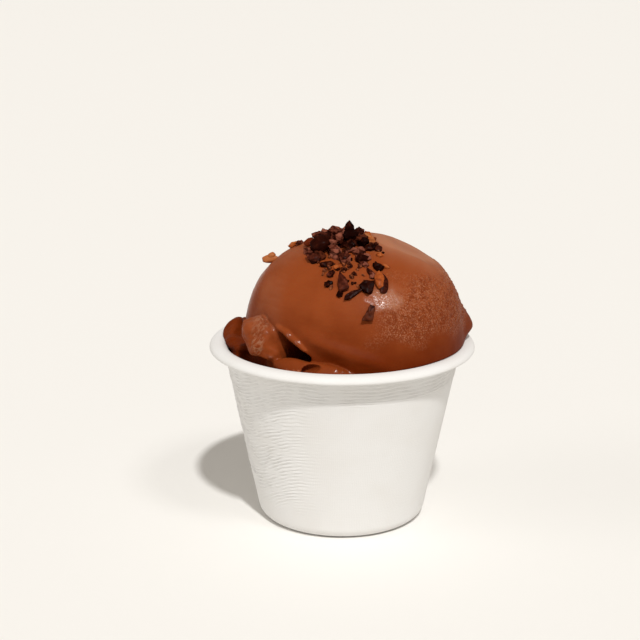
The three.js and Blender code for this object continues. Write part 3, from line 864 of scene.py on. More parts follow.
# %% Maps of ice and sparkle
ICE_LEFT = (2, 24)
ICE_RIGHT = (150, 190)
ICE_LOW = (9, 17)
ICE_HIGH = (34, 50)
ICE_WANDER = 10
SPARKLE_AZIMUTH = 19
SPARKLE_ELEVATION = 35
SPARKLE_WIDE = 11
SPARKLE_TALL = 8


def ice_map(points):
    """The grainy band along the right, with a wandering border."""
    distance, azimuth, elevation = angles_from(SCOOP_MIDDLE, *points.T)
    wander = ICE_WANDER * lumps(points, 7.0, 3.0)
    right = soft_step(azimuth + wander, *ICE_LEFT) * (1 - soft_step(azimuth, *ICE_RIGHT))
    band = soft_step(elevation + 0.5 * wander, *ICE_LOW) * (1 - soft_step(elevation + wander, *ICE_HIGH))
    return right * band


def sparkle_map(points):
    """The patch of wet crystals at the upper corner of the icy side."""
    distance, azimuth, elevation = angles_from(SCOOP_MIDDLE, *points.T)
    across = (azimuth - SPARKLE_AZIMUTH) / SPARKLE_WIDE
    up = (elevation - SPARKLE_ELEVATION) / SPARKLE_TALL
    return 1 - soft_step(np.sqrt(across**2 + up**2) + 0.5 * lumps(points, 2.2, 15.0), 0.15, 1.2)


sorbet_points = points_of(sorbet)
shown = sorbet_points[:, 2] > SKIN_BOTTOM
maps = dict(ice=ice_map(sorbet_points), sparkle=sparkle_map(sorbet_points))
print("icy share of the points:", round(float((maps["ice"] > 0.5).mean()), 2))

# %% [markdown]
# ## Frost
# A frosted band runs down the broken face of the chunk. It has a slanting middle line on that face, and
# noise makes its border ragged.

# %% Map of frost
FROST_RIGHT = -1.8
FROST_SLANT = 0.13
FROST_WIDE = 1.9
FROST_FOOT = (-5, -3)
FROST_FRONT = (0, 2)


def frost_map(points):
    """The frosted band that runs down the chunk's face."""
    x, y, z = points.T
    right, up, out = on_chunk(x, y, z)
    away = np.abs(right - FROST_RIGHT - FROST_SLANT * up) + 0.9 * lumps(points, 2.0, 9.0)
    band = 1 - soft_step(away, 0.5 * FROST_WIDE, 1.3 * FROST_WIDE)
    band = band * soft_step(up, *FROST_FOOT) * soft_step(out, *FROST_FRONT)
    return np.where(chunk_field(x, y, z) < 0.8, band, 0)


maps["frost"] = frost_map(sorbet_points)
print("frosted points:", int((maps["frost"] > 0.5).sum()))

# %% [markdown]
# ## Melt
# Melt stands in small drops on the torn lip, on the chunk and along the front roll. On the map each drop is
# a smooth little hill, so the same map can lift the skin there and make it shine. The left side of the
# scoop is a little wet all over.

# %% Map of melt
LIP_DROPS = (-35.5, -30.2)
LIP_DROP_RISE = 0.6
CHUNK_DROPS = ((0.9, 4.4), (2.3, 3.6), (0.7, 2.3), (1.8, -4.4))
ROLL_DROPS = (-2.7, 0.5, 1.9, 3.5, 5.0, 6.4)
ROLL_DROP_SUNK = 0.2
DROP_SIZE = 0.45
ROLL_DROP_SIZE = 0.7 * DROP_SIZE
SPOT_WET = 0.15
LEFT_WET = 0.4
LEFT_WET_AROUND = (-150, -72, 18)
LEFT_WET_UP = (6, 52, 14)


def drop_map(points):
    """Small drops of melt on the torn lip, on the chunk's face and along the front roll."""
    x, y, z = points.T
    distance, azimuth, elevation = angles_from(SCOOP_MIDDLE, x, y, z)
    right, up, out = on_chunk(x, y, z)
    around = np.degrees(np.arctan2(x, -y))
    roll = MASSES["front_roll"]
    on_lip = torn_lip_field(distance, azimuth, elevation) < 0.5
    on_face = (chunk_field(x, y, z) < 0.5) & (out > 0)
    on_roll = egg_field(x, y, z, roll) < 0.4
    drops = []
    for place in LIP_DROPS:
        above = elevation - torn_lip_path(place)[2] - LIP_DROP_RISE
        away = np.radians(np.hypot(azimuth - place, above)) * SCOOP_RADIUS
        drops.append(hill(away, DROP_SIZE) * on_lip)
    for place in CHUNK_DROPS:
        away = np.hypot(right - place[0], up - place[1])
        drops.append(hill(away, DROP_SIZE) * on_face)
    for place in ROLL_DROPS:
        along = (place - roll["azimuth"]) / roll["span"]
        ridge = roll["height"] + roll["rise"] * along + roll["tall"] * math.sqrt(1 - along**2)
        away = np.hypot(np.radians(around - place) * roll["radius"], z - ridge + ROLL_DROP_SUNK)
        drops.append(hill(away, ROLL_DROP_SIZE) * on_roll)
    return np.max(drops, axis=0)


def wet_map(points):
    """Where melt makes the sorbet shine: in the drops, in spots on the chunk, and on the scoop's left."""
    spots = soft_step(lumps(points, 1.5, 31.0), 0.15, 0.4)
    chunk = spots * (1 - soft_step(chunk_field(*points.T), 0.2, 0.8))
    distance, azimuth, elevation = angles_from(SCOOP_MIDDLE, *points.T)
    left = between(azimuth, *LEFT_WET_AROUND) * between(elevation, *LEFT_WET_UP)
    drops = np.minimum(1.5 * drop_map(points), 1)
    return np.maximum(drops, np.maximum(SPOT_WET * chunk, LEFT_WET * left))


maps["wet"] = wet_map(sorbet_points)
print("points in drops of melt:", int((maps["wet"] > LEFT_WET).sum()))

# %% [markdown]
# ## Painted sheen, drag film and painted shade
# Pale paint on the facet at the top right stands for sheen, with a painted highlight along its crease, and
# a painted haze of highlight lies on the sparkling patch. A thinner pale film lies where the scoop's edge
# was pulled over the left, painted sheen lies along the upper left, and flecks of ice show where the front
# roll meets the rim. Low down, the brown is painted darker as shade, but the chunk, the torn lip and the
# front roll are spared it. All six maps are stored at the points of the mesh, and they are zero below the
# rim, where nothing shows.

# %% Maps of film and brown
# Heights between which the painted shade grows, going down.
LOW_SHADE_FROM = 52.5
LOW_SHADE_TO = 71
# Painted sheen on the facet, painted highlight along its crease, painted haze on the sparkling patch.
FACET_PAINTED_SHEEN = 0.85
CREASE_PAINTED_HIGHLIGHT = 0.8
CREASE_AWAY = 14.5
CREASE_WIDTH = 3.0
SPARKLE_PAINTED_HAZE = 0.68
# Strength of the drag film, which also scales the painted sheen along the upper left.
DRAG_FILM_AND_SHEEN = 0.21
DRAG_AROUND = (-66, -32, 12)
DRAG_UP = (8, 48, 14)
# Painted sheen along the upper left.
UPPER_LEFT_PAINTED_SHEEN = 1.1
UPPER_LEFT_AROUND = (-135, -45, 30)
UPPER_LEFT_UP = (40, 74, 12)
FLECKS_AROUND = (-36, -14, 4)
LIGHT_LIP = 0.75
LIGHT_CHUNK = 0.7
LIGHT_ROLL = 0.5


def drag_marks(points):
    """Faint streaks round the ball, left by the scoop's edge."""
    flat = points * np.array([0.16, 0.16, 1.0])
    return lumps(flat, 0.9, 7.0)


def sheen_and_film_map(points):
    """Painted sheen and highlights, pale drag marks, and ice flecks where the front roll meets the rim."""
    distance, azimuth, elevation = angles_from(SCOOP_MIDDLE, *points.T)
    toward = direction(azimuth, elevation) @ direction(FACET_AZIMUTH, FACET_ELEVATION)
    away = np.degrees(np.arccos(np.clip(toward, -1, 1)))
    wander = 3 * lumps(points, 5.0, 6.0)
    # Painted sheen on the facet, with a painted highlight along its crease.
    sheen_and_film = FACET_PAINTED_SHEEN * (1 - soft_step(away + wander, 10, 36))
    sheen_and_film += CREASE_PAINTED_HIGHLIGHT * hill(away + wander - CREASE_AWAY, CREASE_WIDTH)
    # Painted haze of highlight on the sparkling patch.
    sheen_and_film = np.maximum(sheen_and_film, SPARKLE_PAINTED_HAZE * maps["sparkle"])
    # The drag film on the left, joined with painted sheen along the upper left.
    drag_and_sheen = between(azimuth + 0.3 * elevation, *DRAG_AROUND) * between(elevation, *DRAG_UP)
    upper_left_sheen = UPPER_LEFT_PAINTED_SHEEN * between(azimuth, *UPPER_LEFT_AROUND) * between(elevation, *UPPER_LEFT_UP)
    drag_and_sheen = np.maximum(drag_and_sheen, upper_left_sheen)
    sheen_and_film = np.maximum(sheen_and_film, DRAG_FILM_AND_SHEEN * drag_and_sheen * (0.8 + 0.4 * drag_marks(points)))
    at_rim = (1 - soft_step(-cup_field(*points.T), 0.4, 1.2)) * between(azimuth, *FLECKS_AROUND)
    flecks = soft_step(lumps(points, 0.8, 41.0), 0.15, 0.35) * at_rim
    return np.minimum(np.maximum(sheen_and_film, flecks), 1)


def deep_map(points):
    """Painted shade, darkest low down, that spares the chunk, the torn lip and the front roll."""
    x, y, z = points.T
    distance, azimuth, elevation = angles_from(SCOOP_MIDDLE, x, y, z)
    lip = 1 - soft_step(torn_lip_field(distance, azimuth, elevation), 0.1, 0.7)
    chunk = 1 - soft_step(chunk_field(x, y, z), 0.2, 0.8)
    roll = 1 - soft_step(egg_field(x, y, z, MASSES["front_roll"]), 0.1, 0.5)
    light = np.maximum(np.maximum(LIGHT_LIP * lip, LIGHT_CHUNK * chunk), LIGHT_ROLL * roll)
    # Painted shade: darker low down, lifted on the chunk, the torn lip and the front roll.
    return np.clip((LOW_SHADE_TO - z) / (LOW_SHADE_TO - LOW_SHADE_FROM), 0, 1) * (1 - light)


maps["pale"] = sheen_and_film_map(sorbet_points)
maps["deep"] = deep_map(sorbet_points)
for name in maps:
    maps[name] = np.where(shown, maps[name], 0)
    mark_points(sorbet, name, maps[name])
print("maps stored:", ", ".join(maps))

# %% [markdown]
# ## Small relief of the skin
# The eye reads ice from its relief: crystals of half a millimetre and one slanting wrinkle on the icy side,
# streaks on the frosted break, faint marks of the scoop's edge on the smooth side, lumps on the chunk and
# the left roll, the drops of melt, and slow swells everywhere. All of it is moved into the mesh along the
# normals. It fades out where the sorbet touches the cup, so nothing is pushed through the fibre.

# %% Small relief
GRAIN_DEPTH = 0.15
FROST_DEPTH = 0.28
BROAD_DEPTH = 0.12
FINE_DEPTH = 0.03
LUMP_DEPTH = 0.42
ROLL_DEPTH = 0.9
DRAG_DEPTH = 0.05
DROP_HEIGHT = 0.28
WRINKLE_DEPTH = 0.3
WRINKLE_AZIMUTH = 19
WRINKLE_ELEVATION = 27.0
WRINKLE_FALL = 0.31
WRINKLE_WIDTH = 1.0
WRINKLE_WINDOW = (12, 44, 10)
STREAK_DIRECTION = np.array([-0.57, -0.23, -0.79])


def grain(points):
    """Crystals from about -1 to 1: rounded bumps, wider than tall, with sharp cracks between them."""
    wide = points * np.array([0.75, 0.75, 1.0])
    return 2.0 * np.abs(lumps(wide, 0.9, 1.0)) + 1.6 * np.abs(lumps(wide, 0.5, 5.0)) - 0.8


def streaks(points):
    """Ridges that run down to the left over the frosted break."""
    along = points @ STREAK_DIRECTION
    squeezed = points - 0.9 * along[:, None] * STREAK_DIRECTION
    broad = 0.8 * lumps(squeezed, 1.1, 21.0) + 0.4 * lumps(points, 1.6, 25.0)
    return broad + 0.3 * lumps(squeezed, 0.45, 23.0)


def wrinkle(points):
    """One groove that slants across the icy side."""
    distance, azimuth, elevation = angles_from(SCOOP_MIDDLE, *points.T)
    above = elevation - WRINKLE_ELEVATION + WRINKLE_FALL * (azimuth - WRINKLE_AZIMUTH)
    above += 1.2 * lumps(points, 3.0, 17.0)
    return hill(above, WRINKLE_WIDTH) * between(azimuth, *WRINKLE_WINDOW)


def lumpy_map(points):
    """The chunk and the left roll, which broke rather than slid."""
    x, y, z = points.T
    nearest = np.minimum(chunk_field(x, y, z), egg_field(x, y, z, MASSES["left_roll"]))
    return 1 - soft_step(nearest, 0.3, 1.0)


def skin_relief(points):
    icy = np.maximum(maps["ice"], 0.5 * maps["sparkle"])
    relief = GRAIN_DEPTH * icy * grain(points) + FROST_DEPTH * maps["frost"] * streaks(points)
    relief += BROAD_DEPTH * lumps(points, 6.0, 2.0) + FINE_DEPTH * lumps(points, 2.0, 4.0)
    relief += LUMP_DEPTH * lumpy_map(points) * (lumps(points, 3.2, 8.0) + 0.4 * lumps(points, 1.3, 12.0))
    relief += DRAG_DEPTH * (1 - maps["ice"]) * drag_marks(points)
    left_roll = 1 - soft_step(egg_field(*points.T, MASSES["left_roll"]), 0.3, 1.0)
    relief += ROLL_DEPTH * left_roll * lumps(points, 4.6, 18.0)
    relief -= WRINKLE_DEPTH * wrinkle(points)
    relief += DROP_HEIGHT * drop_map(points)
    clear_of_cup = soft_step(-cup_field(*points.T), 0.05, 1.2)
    return np.where(shown, relief * clear_of_cup, 0)


relief = skin_relief(sorbet_points)
move_points(sorbet, sorbet_points + relief[:, None] * normals_of(sorbet))
print("relief from", round(relief.min(), 2), "to", round(relief.max(), 2), "mm")

# %% [markdown]
# ## The sorbet's colours
# Chocolate sorbet is a warm mid brown with soft clouds in it, painted darker and redder low down as shade.
# Paler and darker colours are laid over the brown one after the other, each with its own map: pale crystals
# and dark cracks on the icy side, grooves and ridges on the frosted break, and last a pale paint for painted
# sheen and highlights and for the drag film. Noise breaks up all but that last one, whose map is uneven
# already.

# %% Colours of the sorbet
# Brown of the painted shade low down.
SORBET_SHADED_BROWN = (0.128, 0.0168, 0.0012)
SORBET_BROWN = (0.252, 0.0525, 0.0120)
# Pale ice crystals, and also the painted sheen and highlights.
SORBET_PALE_AND_SHEEN = (0.385, 0.1520, 0.0800)
SORBET_FROST = (0.320, 0.1600, 0.0930)
SORBET_CRACK = (0.160, 0.0260, 0.0050)
WISP_STRETCH = 0.7


def blend_colour(tree, share, first, second):
    """A mix of a linked colour with a plain one."""
    mix = add_node(tree, "ShaderNodeMix", {"Factor": share}, data_type="RGBA")
    tree.links.new(first, mix.inputs[6])
    mix.inputs[7].default_value = (*second, 1)
    return mix.outputs[2]


def cloudy_brown(tree, place, deep):
    """Brown with soft clouds in it, painted darker low down as shade."""
    cloud = noise_at(tree, place, Scale=110.0, Detail=5.0)
    uneven = rescale(tree, cloud, 0.3, 0.7, -0.2, 0.2)
    # Painted shade: low down the brown is pulled toward its shaded colour.
    share = combine(tree, "ADD", rescale(tree, deep, 1, 0), uneven, use_clamp=True)
    return ramp(tree, share, (0.0, SORBET_SHADED_BROWN), (1.0, SORBET_BROWN))


def ice_cracks(tree, place, ice):
    """Thin broken lines between the crystals, where swirling noise passes its middle value."""
    swirl = noise_at(tree, place, Scale=620.0, Detail=2.0, Distortion=0.8)
    middle = add_node(tree, "ShaderNodeMath", {0: swirl}, operation="SUBTRACT")
    middle.inputs[1].default_value = 0.5
    off_line = add_node(tree, "ShaderNodeMath", {0: middle.outputs[0]}, operation="ABSOLUTE").outputs[0]
    broken = noise_at(tree, place, Scale=560.0, Detail=1.0)
    lines = rescale(tree, off_line, 0.015, 0.1, 1, 0)
    return product(tree, product(tree, lines, rescale(tree, broken, 0.38, 0.6, 0.15, 0.9)), ice)


def frost_wisps(tree, place):
    """Noise that is drawn out along the streaks of the frosted break."""
    along = add_node(tree, "ShaderNodeVectorMath", {0: place}, operation="DOT_PRODUCT")
    along.inputs[1].default_value = STREAK_DIRECTION
    pulled = add_node(tree, "ShaderNodeVectorMath", {"Scale": along.outputs["Value"]}, operation="SCALE")
    pulled.inputs[0].default_value = WISP_STRETCH * STREAK_DIRECTION
    squeezed = add_node(tree, "ShaderNodeVectorMath", {0: place, 1: pulled.outputs[0]}, operation="SUBTRACT")
    return noise_at(tree, squeezed.outputs[0], Scale=1100.0, Detail=5.0, Roughness=0.7, Distortion=1.2)


def sorbet_colour(tree, place, marks, speck, cracks):
    wisps = frost_wisps(tree, place)
    crystals = product(tree, marks["ice"], rescale(tree, speck, 0.48, 0.64))
    grooves = product(tree, marks["frost"], rescale(tree, wisps, 0.36, 0.52, 0.7, 0.0))
    ridges = product(tree, marks["frost"], rescale(tree, wisps, 0.46, 0.66, 0.0, 0.85))
    # The last layer is pale paint for painted sheen and highlights, with the drag film.
    layers = (
        (crystals, SORBET_PALE_AND_SHEEN), (cracks, SORBET_CRACK), (grooves, SORBET_CRACK),
        (ridges, SORBET_FROST), (marks["pale"], SORBET_PALE_AND_SHEEN),
    )
    colour = cloudy_brown(tree, place, marks["deep"])
    for share, paint in layers:
        colour = blend_colour(tree, share, colour, paint)
    return colour


print("sorbet colours: brown", SORBET_BROWN, "to deep", SORBET_SHADED_BROWN)

# %% [markdown]
# ## The sorbet's finish
# Principled BSDF makes the moist look with a little light under the surface. Relief that is finer than the
# mesh is left to a Bump node: specks where the sorbet is icy or frosted, with the cracks sunk into them.
# The gloss of the sorbet itself stays low, because a strong one would lay the white of the room over the
# brown and turn it pink. Where melt stands or wet crystals sparkle, a clear coat shines instead.

# %% Sorbet material
def sorbet_bump(tree, marks, speck, cracks):
    """Fine specks, strongest where it is icy or frosted, with the cracks sunk into them."""
    icy = combine(tree, "MAXIMUM", marks["ice"], marks["sparkle"])
    rough = combine(tree, "MAXIMUM", icy, marks["frost"])
    specks = product(tree, speck, rescale(tree, rough, 0, 1, 0.12, 1.0))
    height = combine(tree, "SUBTRACT", specks, product(tree, cracks, speck))
    bump = add_node(tree, "ShaderNodeBump", {"Height": height}, Strength=0.8, Distance=0.0003)
    return bump.outputs["Normal"]


def wet_shine(tree, place, marks, shader):
    """A clear coat, full in the drops of melt and in glints on the sparkling patch."""
    tiny = noise_at(tree, place, Scale=3000.0, Detail=3.0)
    height = product(tree, tiny, marks["sparkle"])
    facets = add_node(tree, "ShaderNodeBump", {"Height": height}, Strength=0.45, Distance=0.0002)
    tree.links.new(facets.outputs["Normal"], shader.inputs["Coat Normal"])
    glints = product(tree, marks["sparkle"], rescale(tree, tiny, 0.44, 0.58, 0.12, 1.0))
    tree.links.new(combine(tree, "MAXIMUM", marks["wet"], glints), shader.inputs["Coat Weight"])
    shader.inputs["Coat Roughness"].default_value = 0.2
    shader.inputs["Coat IOR"].default_value = 1.6


def sorbet_material():
    material, tree, shader = new_material("chocolate_sorbet")
    place = add_node(tree, "ShaderNodeTexCoord").outputs["Object"]
    marks = {}
    for name in maps:
        marks[name] = add_node(tree, "ShaderNodeAttribute", attribute_name=name).outputs["Fac"]
    speck = noise_at(tree, place, Scale=2600.0, Detail=4.0, Roughness=0.65)
    cracks = ice_cracks(tree, place, marks["ice"])
    tree.links.new(sorbet_colour(tree, place, marks, speck, cracks), shader.inputs["Base Color"])
    tree.links.new(rescale(tree, marks["ice"], 0, 1, 0.52, 0.36), shader.inputs["Roughness"])
    tree.links.new(sorbet_bump(tree, marks, speck, cracks), shader.inputs["Normal"])
    wet_shine(tree, place, marks, shader)
    shader.inputs["Specular IOR Level"].default_value = 0.04
    shader.inputs["Subsurface Weight"].default_value = 0.12
    shader.inputs["Subsurface Radius"].default_value = (1.0, 0.30, 0.10)
    shader.inputs["Subsurface Scale"].default_value = 0.0012
    return material


sorbet.data.materials.append(sorbet_material())
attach(sorbet, "root")
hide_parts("sorbet")
print("sorbet finish:", [m.name for m in sorbet.data.materials])

# %% [markdown]
# ## Cacao nibs set one by one
# Nibs are broken cocoa beans. They fall in patches: a heap on top, a trail down the front, and a few
# strays. The large ones are set one by one, because they are what the eye remembers: each has a place in
# plan on the scoop, a size, a turn in degrees and a kind. Four of them are flat chips with an outline of
# their own, and some are whole nibs that are worn round.

# %% Nibs set one by one
CHIP_OUTLINES = {
    "lone flake": [(1, 0.8), (0.2, 1), (-0.3, 0.1), (-1, -1), (0.8, -1)],
    "front wedge": [(1, -0.65), (0.4, 0.4), (-0.55, 1), (-1, 0), (-0.75, -1)],
    "dark low": [(1, -0.5), (1, 0.9), (-0.3, 1), (-1, 0.05), (0.25, -1)],
    "long chip": [(1, 0.95), (0.2, 1), (-0.7, 0.1), (-1, -1), (-0.25, -0.8)],
}
WHOLE_NIBS = {
    "husk curl", "husk skin", "big round", "left stray", "left lobe", "oval chip", "orange left",
}


def single(name, place, size, turn, kind, taper=0, tilt=(0, 0), lift=0, shade=None):
    """One listed nib. Without a shade of its own it gets a drawn one."""
    shape = dict(size=size, turn=turn, taper=taper, tilt=tilt)
    return dict(name=name, place=place, kind=kind, lift=lift, shade=shade, **shape)


NIB_SINGLES = [
    single("lone flake", (0.099, -0.873), (3.4, 4.5, 2.0), 0, "dark", shade=1.0),
    single("husk curl", (0.194, -0.685), (6.6, 3.6, 2.3), 100, "husk", shade=0.45),
    single("husk skin", (0.222, -0.702), (7.4, 3.5, 1.7), 100, "brown", shade=0.3),
    single("black seed", (0.185, -0.572), (4.2, 3.0, 2.2), 150, "dark", taper=0.3, shade=0.1),
    single("seed tail", (0.254, -0.547), (3.0, 1.6, 1.2), 10, "husk", taper=0.5),
    single("dark low", (0.081, -0.750), (4.25, 4.0, 2.4), 0, "dark", shade=0.3),
    single("long chip", (-0.025, -0.794), (4.9, 2.85, 1.5), 0, "brown", shade=0.12),
    single("front wedge", (-0.102, -0.716), (3.4, 6.5, 2.4), 0, "brown", shade=0.4),
    single("wedge foot", (-0.132, -0.777), (3.0, 2.0, 1.6), 60, "dark", taper=0.3),
    single("oval chip", (0.196, -0.325), (3.6, 2.8, 1.8), 90, "brown"),
    single("oval tail", (0.207, -0.417), (2.5, 2.2, 1.4), 0, "husk"),
    single("flat chip", (0.063, -0.495), (5.2, 3.6, 1.8), 20, "brown", taper=0.2, lift=0.3),
    single("red sliver", (0.126, -0.635), (4.2, 1.7, 1.4), 130, "brown", taper=0.4),
    single("big round", (-0.283, -0.330), (7.2, 6.6, 5.6), 20, "dark", lift=1.0, shade=0.5),
    single("round top", (-0.246, -0.240), (4.6, 3.8, 3.0), 40, "brown", taper=0.2, lift=1.8),
    single("orange left", (-0.396, -0.123), (4.6, 3.2, 2.4), 60, "husk", taper=0.3, lift=0.5, shade=0.1),
    single("black lump", (-0.043, -0.275), (5.0, 4.4, 4.0), 0, "dark", lift=2.0, shade=0.0),
    single("dark peak", (-0.050, -0.180), (3.4, 3.0, 6.4), 0, "dark", lift=1.8, shade=0.4),
    single("dark right", (0.068, -0.290), (3.6, 3.0, 2.5), 30, "dark", taper=0.2, lift=0.9),
    single("tan right", (0.134, -0.152), (4.2, 2.2, 1.4), 20, "husk", taper=0.4, lift=0.3),
    single("left stray", (-0.728, 0.180), (6.6, 3.2, 3.0), -15, "husk",
        taper=0.3, tilt=(0, 0.7), lift=0.5, shade=1.0),
    single("left lobe", (-0.712, 0.170), (3.2, 2.6, 2.6), -15, "husk", lift=0.9, shade=1.0),
    single("tan left", (-0.545, 0.126), (3.4, 2.4, 1.8), 0, "husk", taper=0.3, lift=0.2, shade=0.7),
    single("grey left", (-0.492, 0.049), (2.8, 2.2, 1.7), 40, "brown", lift=0.2),
    single("chip left", (-0.208, -0.629), (2.9, 2.3, 1.8), 50, "brown", taper=0.2),
    single("crumb left", (-0.227, -0.698), (2.8, 2.1, 1.6), 10, "dark", taper=0.2),
    single("orange mid", (-0.147, -0.584), (3.0, 1.8, 1.4), 0, "husk", taper=0.3),
]
print("nibs set one by one:", len(NIB_SINGLES))

# %% [markdown]
# ## The shape of one nib
# A nib starts as a shard of twelve corners, or as a flat chip with as many. Each corner is knocked in or
# out at random. Then the nib is turned, tilted and pressed into the scoop. The solids were made by the same
# rule with the same random numbers, so both agree.

# %% Corners of a nib
DRAW_FACTOR = 16807
DRAW_LIMIT = 2147483647
NIB_SUNK = 0.3
NIB_KNOCK = (0.62, 1.34)
FLAT_END = 0.9
FULL_END = 1.05
CHIP_EDGE = 0.8


def drawer(seed):
    """A small generator of random numbers, the one that lays the nibs in the solids too."""
    state = seed

    def draw(low, high):
        nonlocal state
        state = state * DRAW_FACTOR % DRAW_LIMIT
        return low + (high - low) * state / DRAW_LIMIT

    return draw


def shard_corners():
    """Twelve corners of a rough shard: a tip, two rings of five turned against each other, and a tip."""
    corners = [(0, 0, 1)]
    for side in (1, -1):
        for k in range(5):
            turn = math.radians(72 * k + 18 * (1 - side))
            corners.append((2 * math.cos(turn) / 5**0.5, 2 * math.sin(turn) / 5**0.5, side / 5**0.5))
    return corners + [(0, 0, -1)]


def chip_corners(outline):
    """The same for a flat chip: its upper ring is the outline, the lower one lies between those corners."""
    middle = tuple(np.mean(outline, axis=0))
    top = [(*corner, CHIP_EDGE) for corner in outline]
    low = []
    for (right, back), (next_right, next_back) in zip(outline, outline[1:] + outline[:1]):
        low.append(((right + next_right) / 2, (back + next_back) / 2, -CHIP_EDGE))
    return [(*middle, 1), *top, *low, (*middle, -1)]


def knock_corners(corners, size, taper, knock, draw):
    """Corners in millimetres, each knocked in or out. One that tapers is broken off flat at its wide end."""
    knocked = []
    for right, back, up in corners:
        reach = 0.5 * draw(*knock)
        right = max(right, FLAT_END * taper - FULL_END)
        narrow = reach * (1 - taper * right)
        knocked.append(Vector((reach * right * size[0], narrow * back * size[1], narrow * up * size[2])))
    return knocked


def set_nib(place, size, taper, turn, tilt, lift, draw, knock=NIB_KNOCK, outline=None):
    """The corners of one nib, pressed into the scoop at a place in plan."""
    toward = Vector((place[0], place[1], math.sqrt(1 - place[0] ** 2 - place[1] ** 2)))
    twist = Euler((tilt[0], tilt[1], math.radians(turn)), "ZYX").to_matrix()
    stand = Vector((0, 0, 1)).rotation_difference(toward).to_matrix()
    azimuth = math.degrees(math.atan2(toward.x, -toward.y))
    elevation = math.degrees(math.asin(toward.z))
    out = float(scoop_radius(azimuth, elevation)) + size[2] * (0.5 - NIB_SUNK) + lift
    seat = Vector(SCOOP_MIDDLE) + toward * out
    corners = chip_corners(outline) if outline else shard_corners()
    return [stand @ twist @ corner + seat for corner in knock_corners(corners, size, taper, knock, draw)]


print("corners of a shard:", len(shard_corners()))

# %% [markdown]
# ## The heap of nibs
# The smaller nibs follow a golden-angle spiral with a small random shift, patch by patch, the heap in two
# layers. Each draws its kind. At the back left the heap is paler, so every nib there is a brown one with a
# pale shade.

# %% Lay the nibs
NIB_SEED = 20417
KIND_SEED = 77
DARK_BELOW = 0.42
BROWN_BELOW = 0.88
NIB_LAYER = 1.7
NIB_SHIFT = 0.02
NIB_TILT = 0.4
NIB_WIDTH = (0.5, 0.85)
NIB_THICKNESS = (0.4, 0.62)
SINGLE_KNOCK = (0.88, 1.12)
CHIP_SMOOTH = 0.49
PALE_RIGHT = -0.1
PALE_BACK = -0.27
PALE_SHADE = 0.66
NIB_PATCHES = [
    dict(count=34, centre=(-0.13, -0.22), reach=(0.30, 0.36), length=(3.2, 5.4), layer=0),
    dict(count=17, centre=(-0.13, -0.20), reach=(0.23, 0.25), length=(3.2, 5.2), layer=1),
    dict(count=8, centre=(-0.01, -0.60), reach=(0.19, 0.10), length=(1.8, 3.2), layer=0),
]


def patch_nib(patch, index, draw):
    out = math.sqrt((index + 0.5) / patch["count"])
    around = index * math.pi * (3 - math.sqrt(5))
    right = patch["centre"][0] + patch["reach"][0] * out * math.cos(around) + draw(-NIB_SHIFT, NIB_SHIFT)
    back = patch["centre"][1] + patch["reach"][1] * out * math.sin(around) + draw(-NIB_SHIFT, NIB_SHIFT)
    length = draw(*patch["length"])
    size = (length, length * draw(*NIB_WIDTH), length * draw(*NIB_THICKNESS))
    turn = draw(0, 180)
    tilt = (draw(-NIB_TILT, NIB_TILT), draw(-NIB_TILT, NIB_TILT))
    return set_nib((right, back), size, 0, turn, tilt, patch["layer"] * NIB_LAYER, draw)


def lay_nibs():
    """All nibs by kind: how whole each is rather than broken, its shade if set, and its corners."""
    draw = drawer(NIB_SEED)
    pick = drawer(KIND_SEED)
    heaps = {"dark": [], "brown": [], "husk": []}
    for patch in NIB_PATCHES:
        for index in range(patch["count"]):
            share = pick(0, 1)
            kind = "dark" if share < DARK_BELOW else "brown" if share < BROWN_BELOW else "husk"
            corners = patch_nib(patch, index, draw)
            right, back, up = (np.mean(corners, axis=0) - SCOOP_MIDDLE) / SCOOP_RADIUS
            pale = right < PALE_RIGHT and back > PALE_BACK
            heaps["brown" if pale else kind].append((0, PALE_SHADE if pale else None, corners))
    for one in NIB_SINGLES:
        outline = CHIP_OUTLINES.get(one["name"])
        shape = one["size"], one["taper"], one["turn"], one["tilt"], one["lift"]
        corners = set_nib(one["place"], *shape, draw, SINGLE_KNOCK, outline)
        whole = 1 if one["name"] in WHOLE_NIBS else CHIP_SMOOTH if outline else 0
        heaps[one["kind"]].append((whole, one["shade"], corners))
    return heaps


nib_heaps = lay_nibs()
print("nibs:", {kind: len(heap) for kind, heap in nib_heaps.items()})

# %% [markdown]
# ## Crumbs
# Fine crumbs that broke off the nibs lie between them and just below the heap. They are shards like the
# nibs, only smaller, and fall by chance. Every shard has the same twenty faces: five round each tip, and a
# belt of ten between the two rings of corners.

# %% Crumbs and faces of a shard
CRUMB_SEED = 911
CRUMB_COUNT = 90
CRUMB_LENGTH = (0.7, 1.9)
CRUMB_CENTRE = (-0.08, -0.34)
CRUMB_REACH = (0.33, 0.42)
CRUMB_SPREAD = 0.7
CRUMB_TILT = 0.6
CRUMB_LIFT = 0.1
SHARD_CORNERS = 12
SHARD_FACES = []
for k in range(5):
    after = (k + 1) % 5
    top, next_top, low, next_low = 1 + k, 1 + after, 6 + k, 6 + after
    SHARD_FACES += [(0, top, next_top), (top, low, next_top), (next_top, low, next_low), (11, next_low, low)]


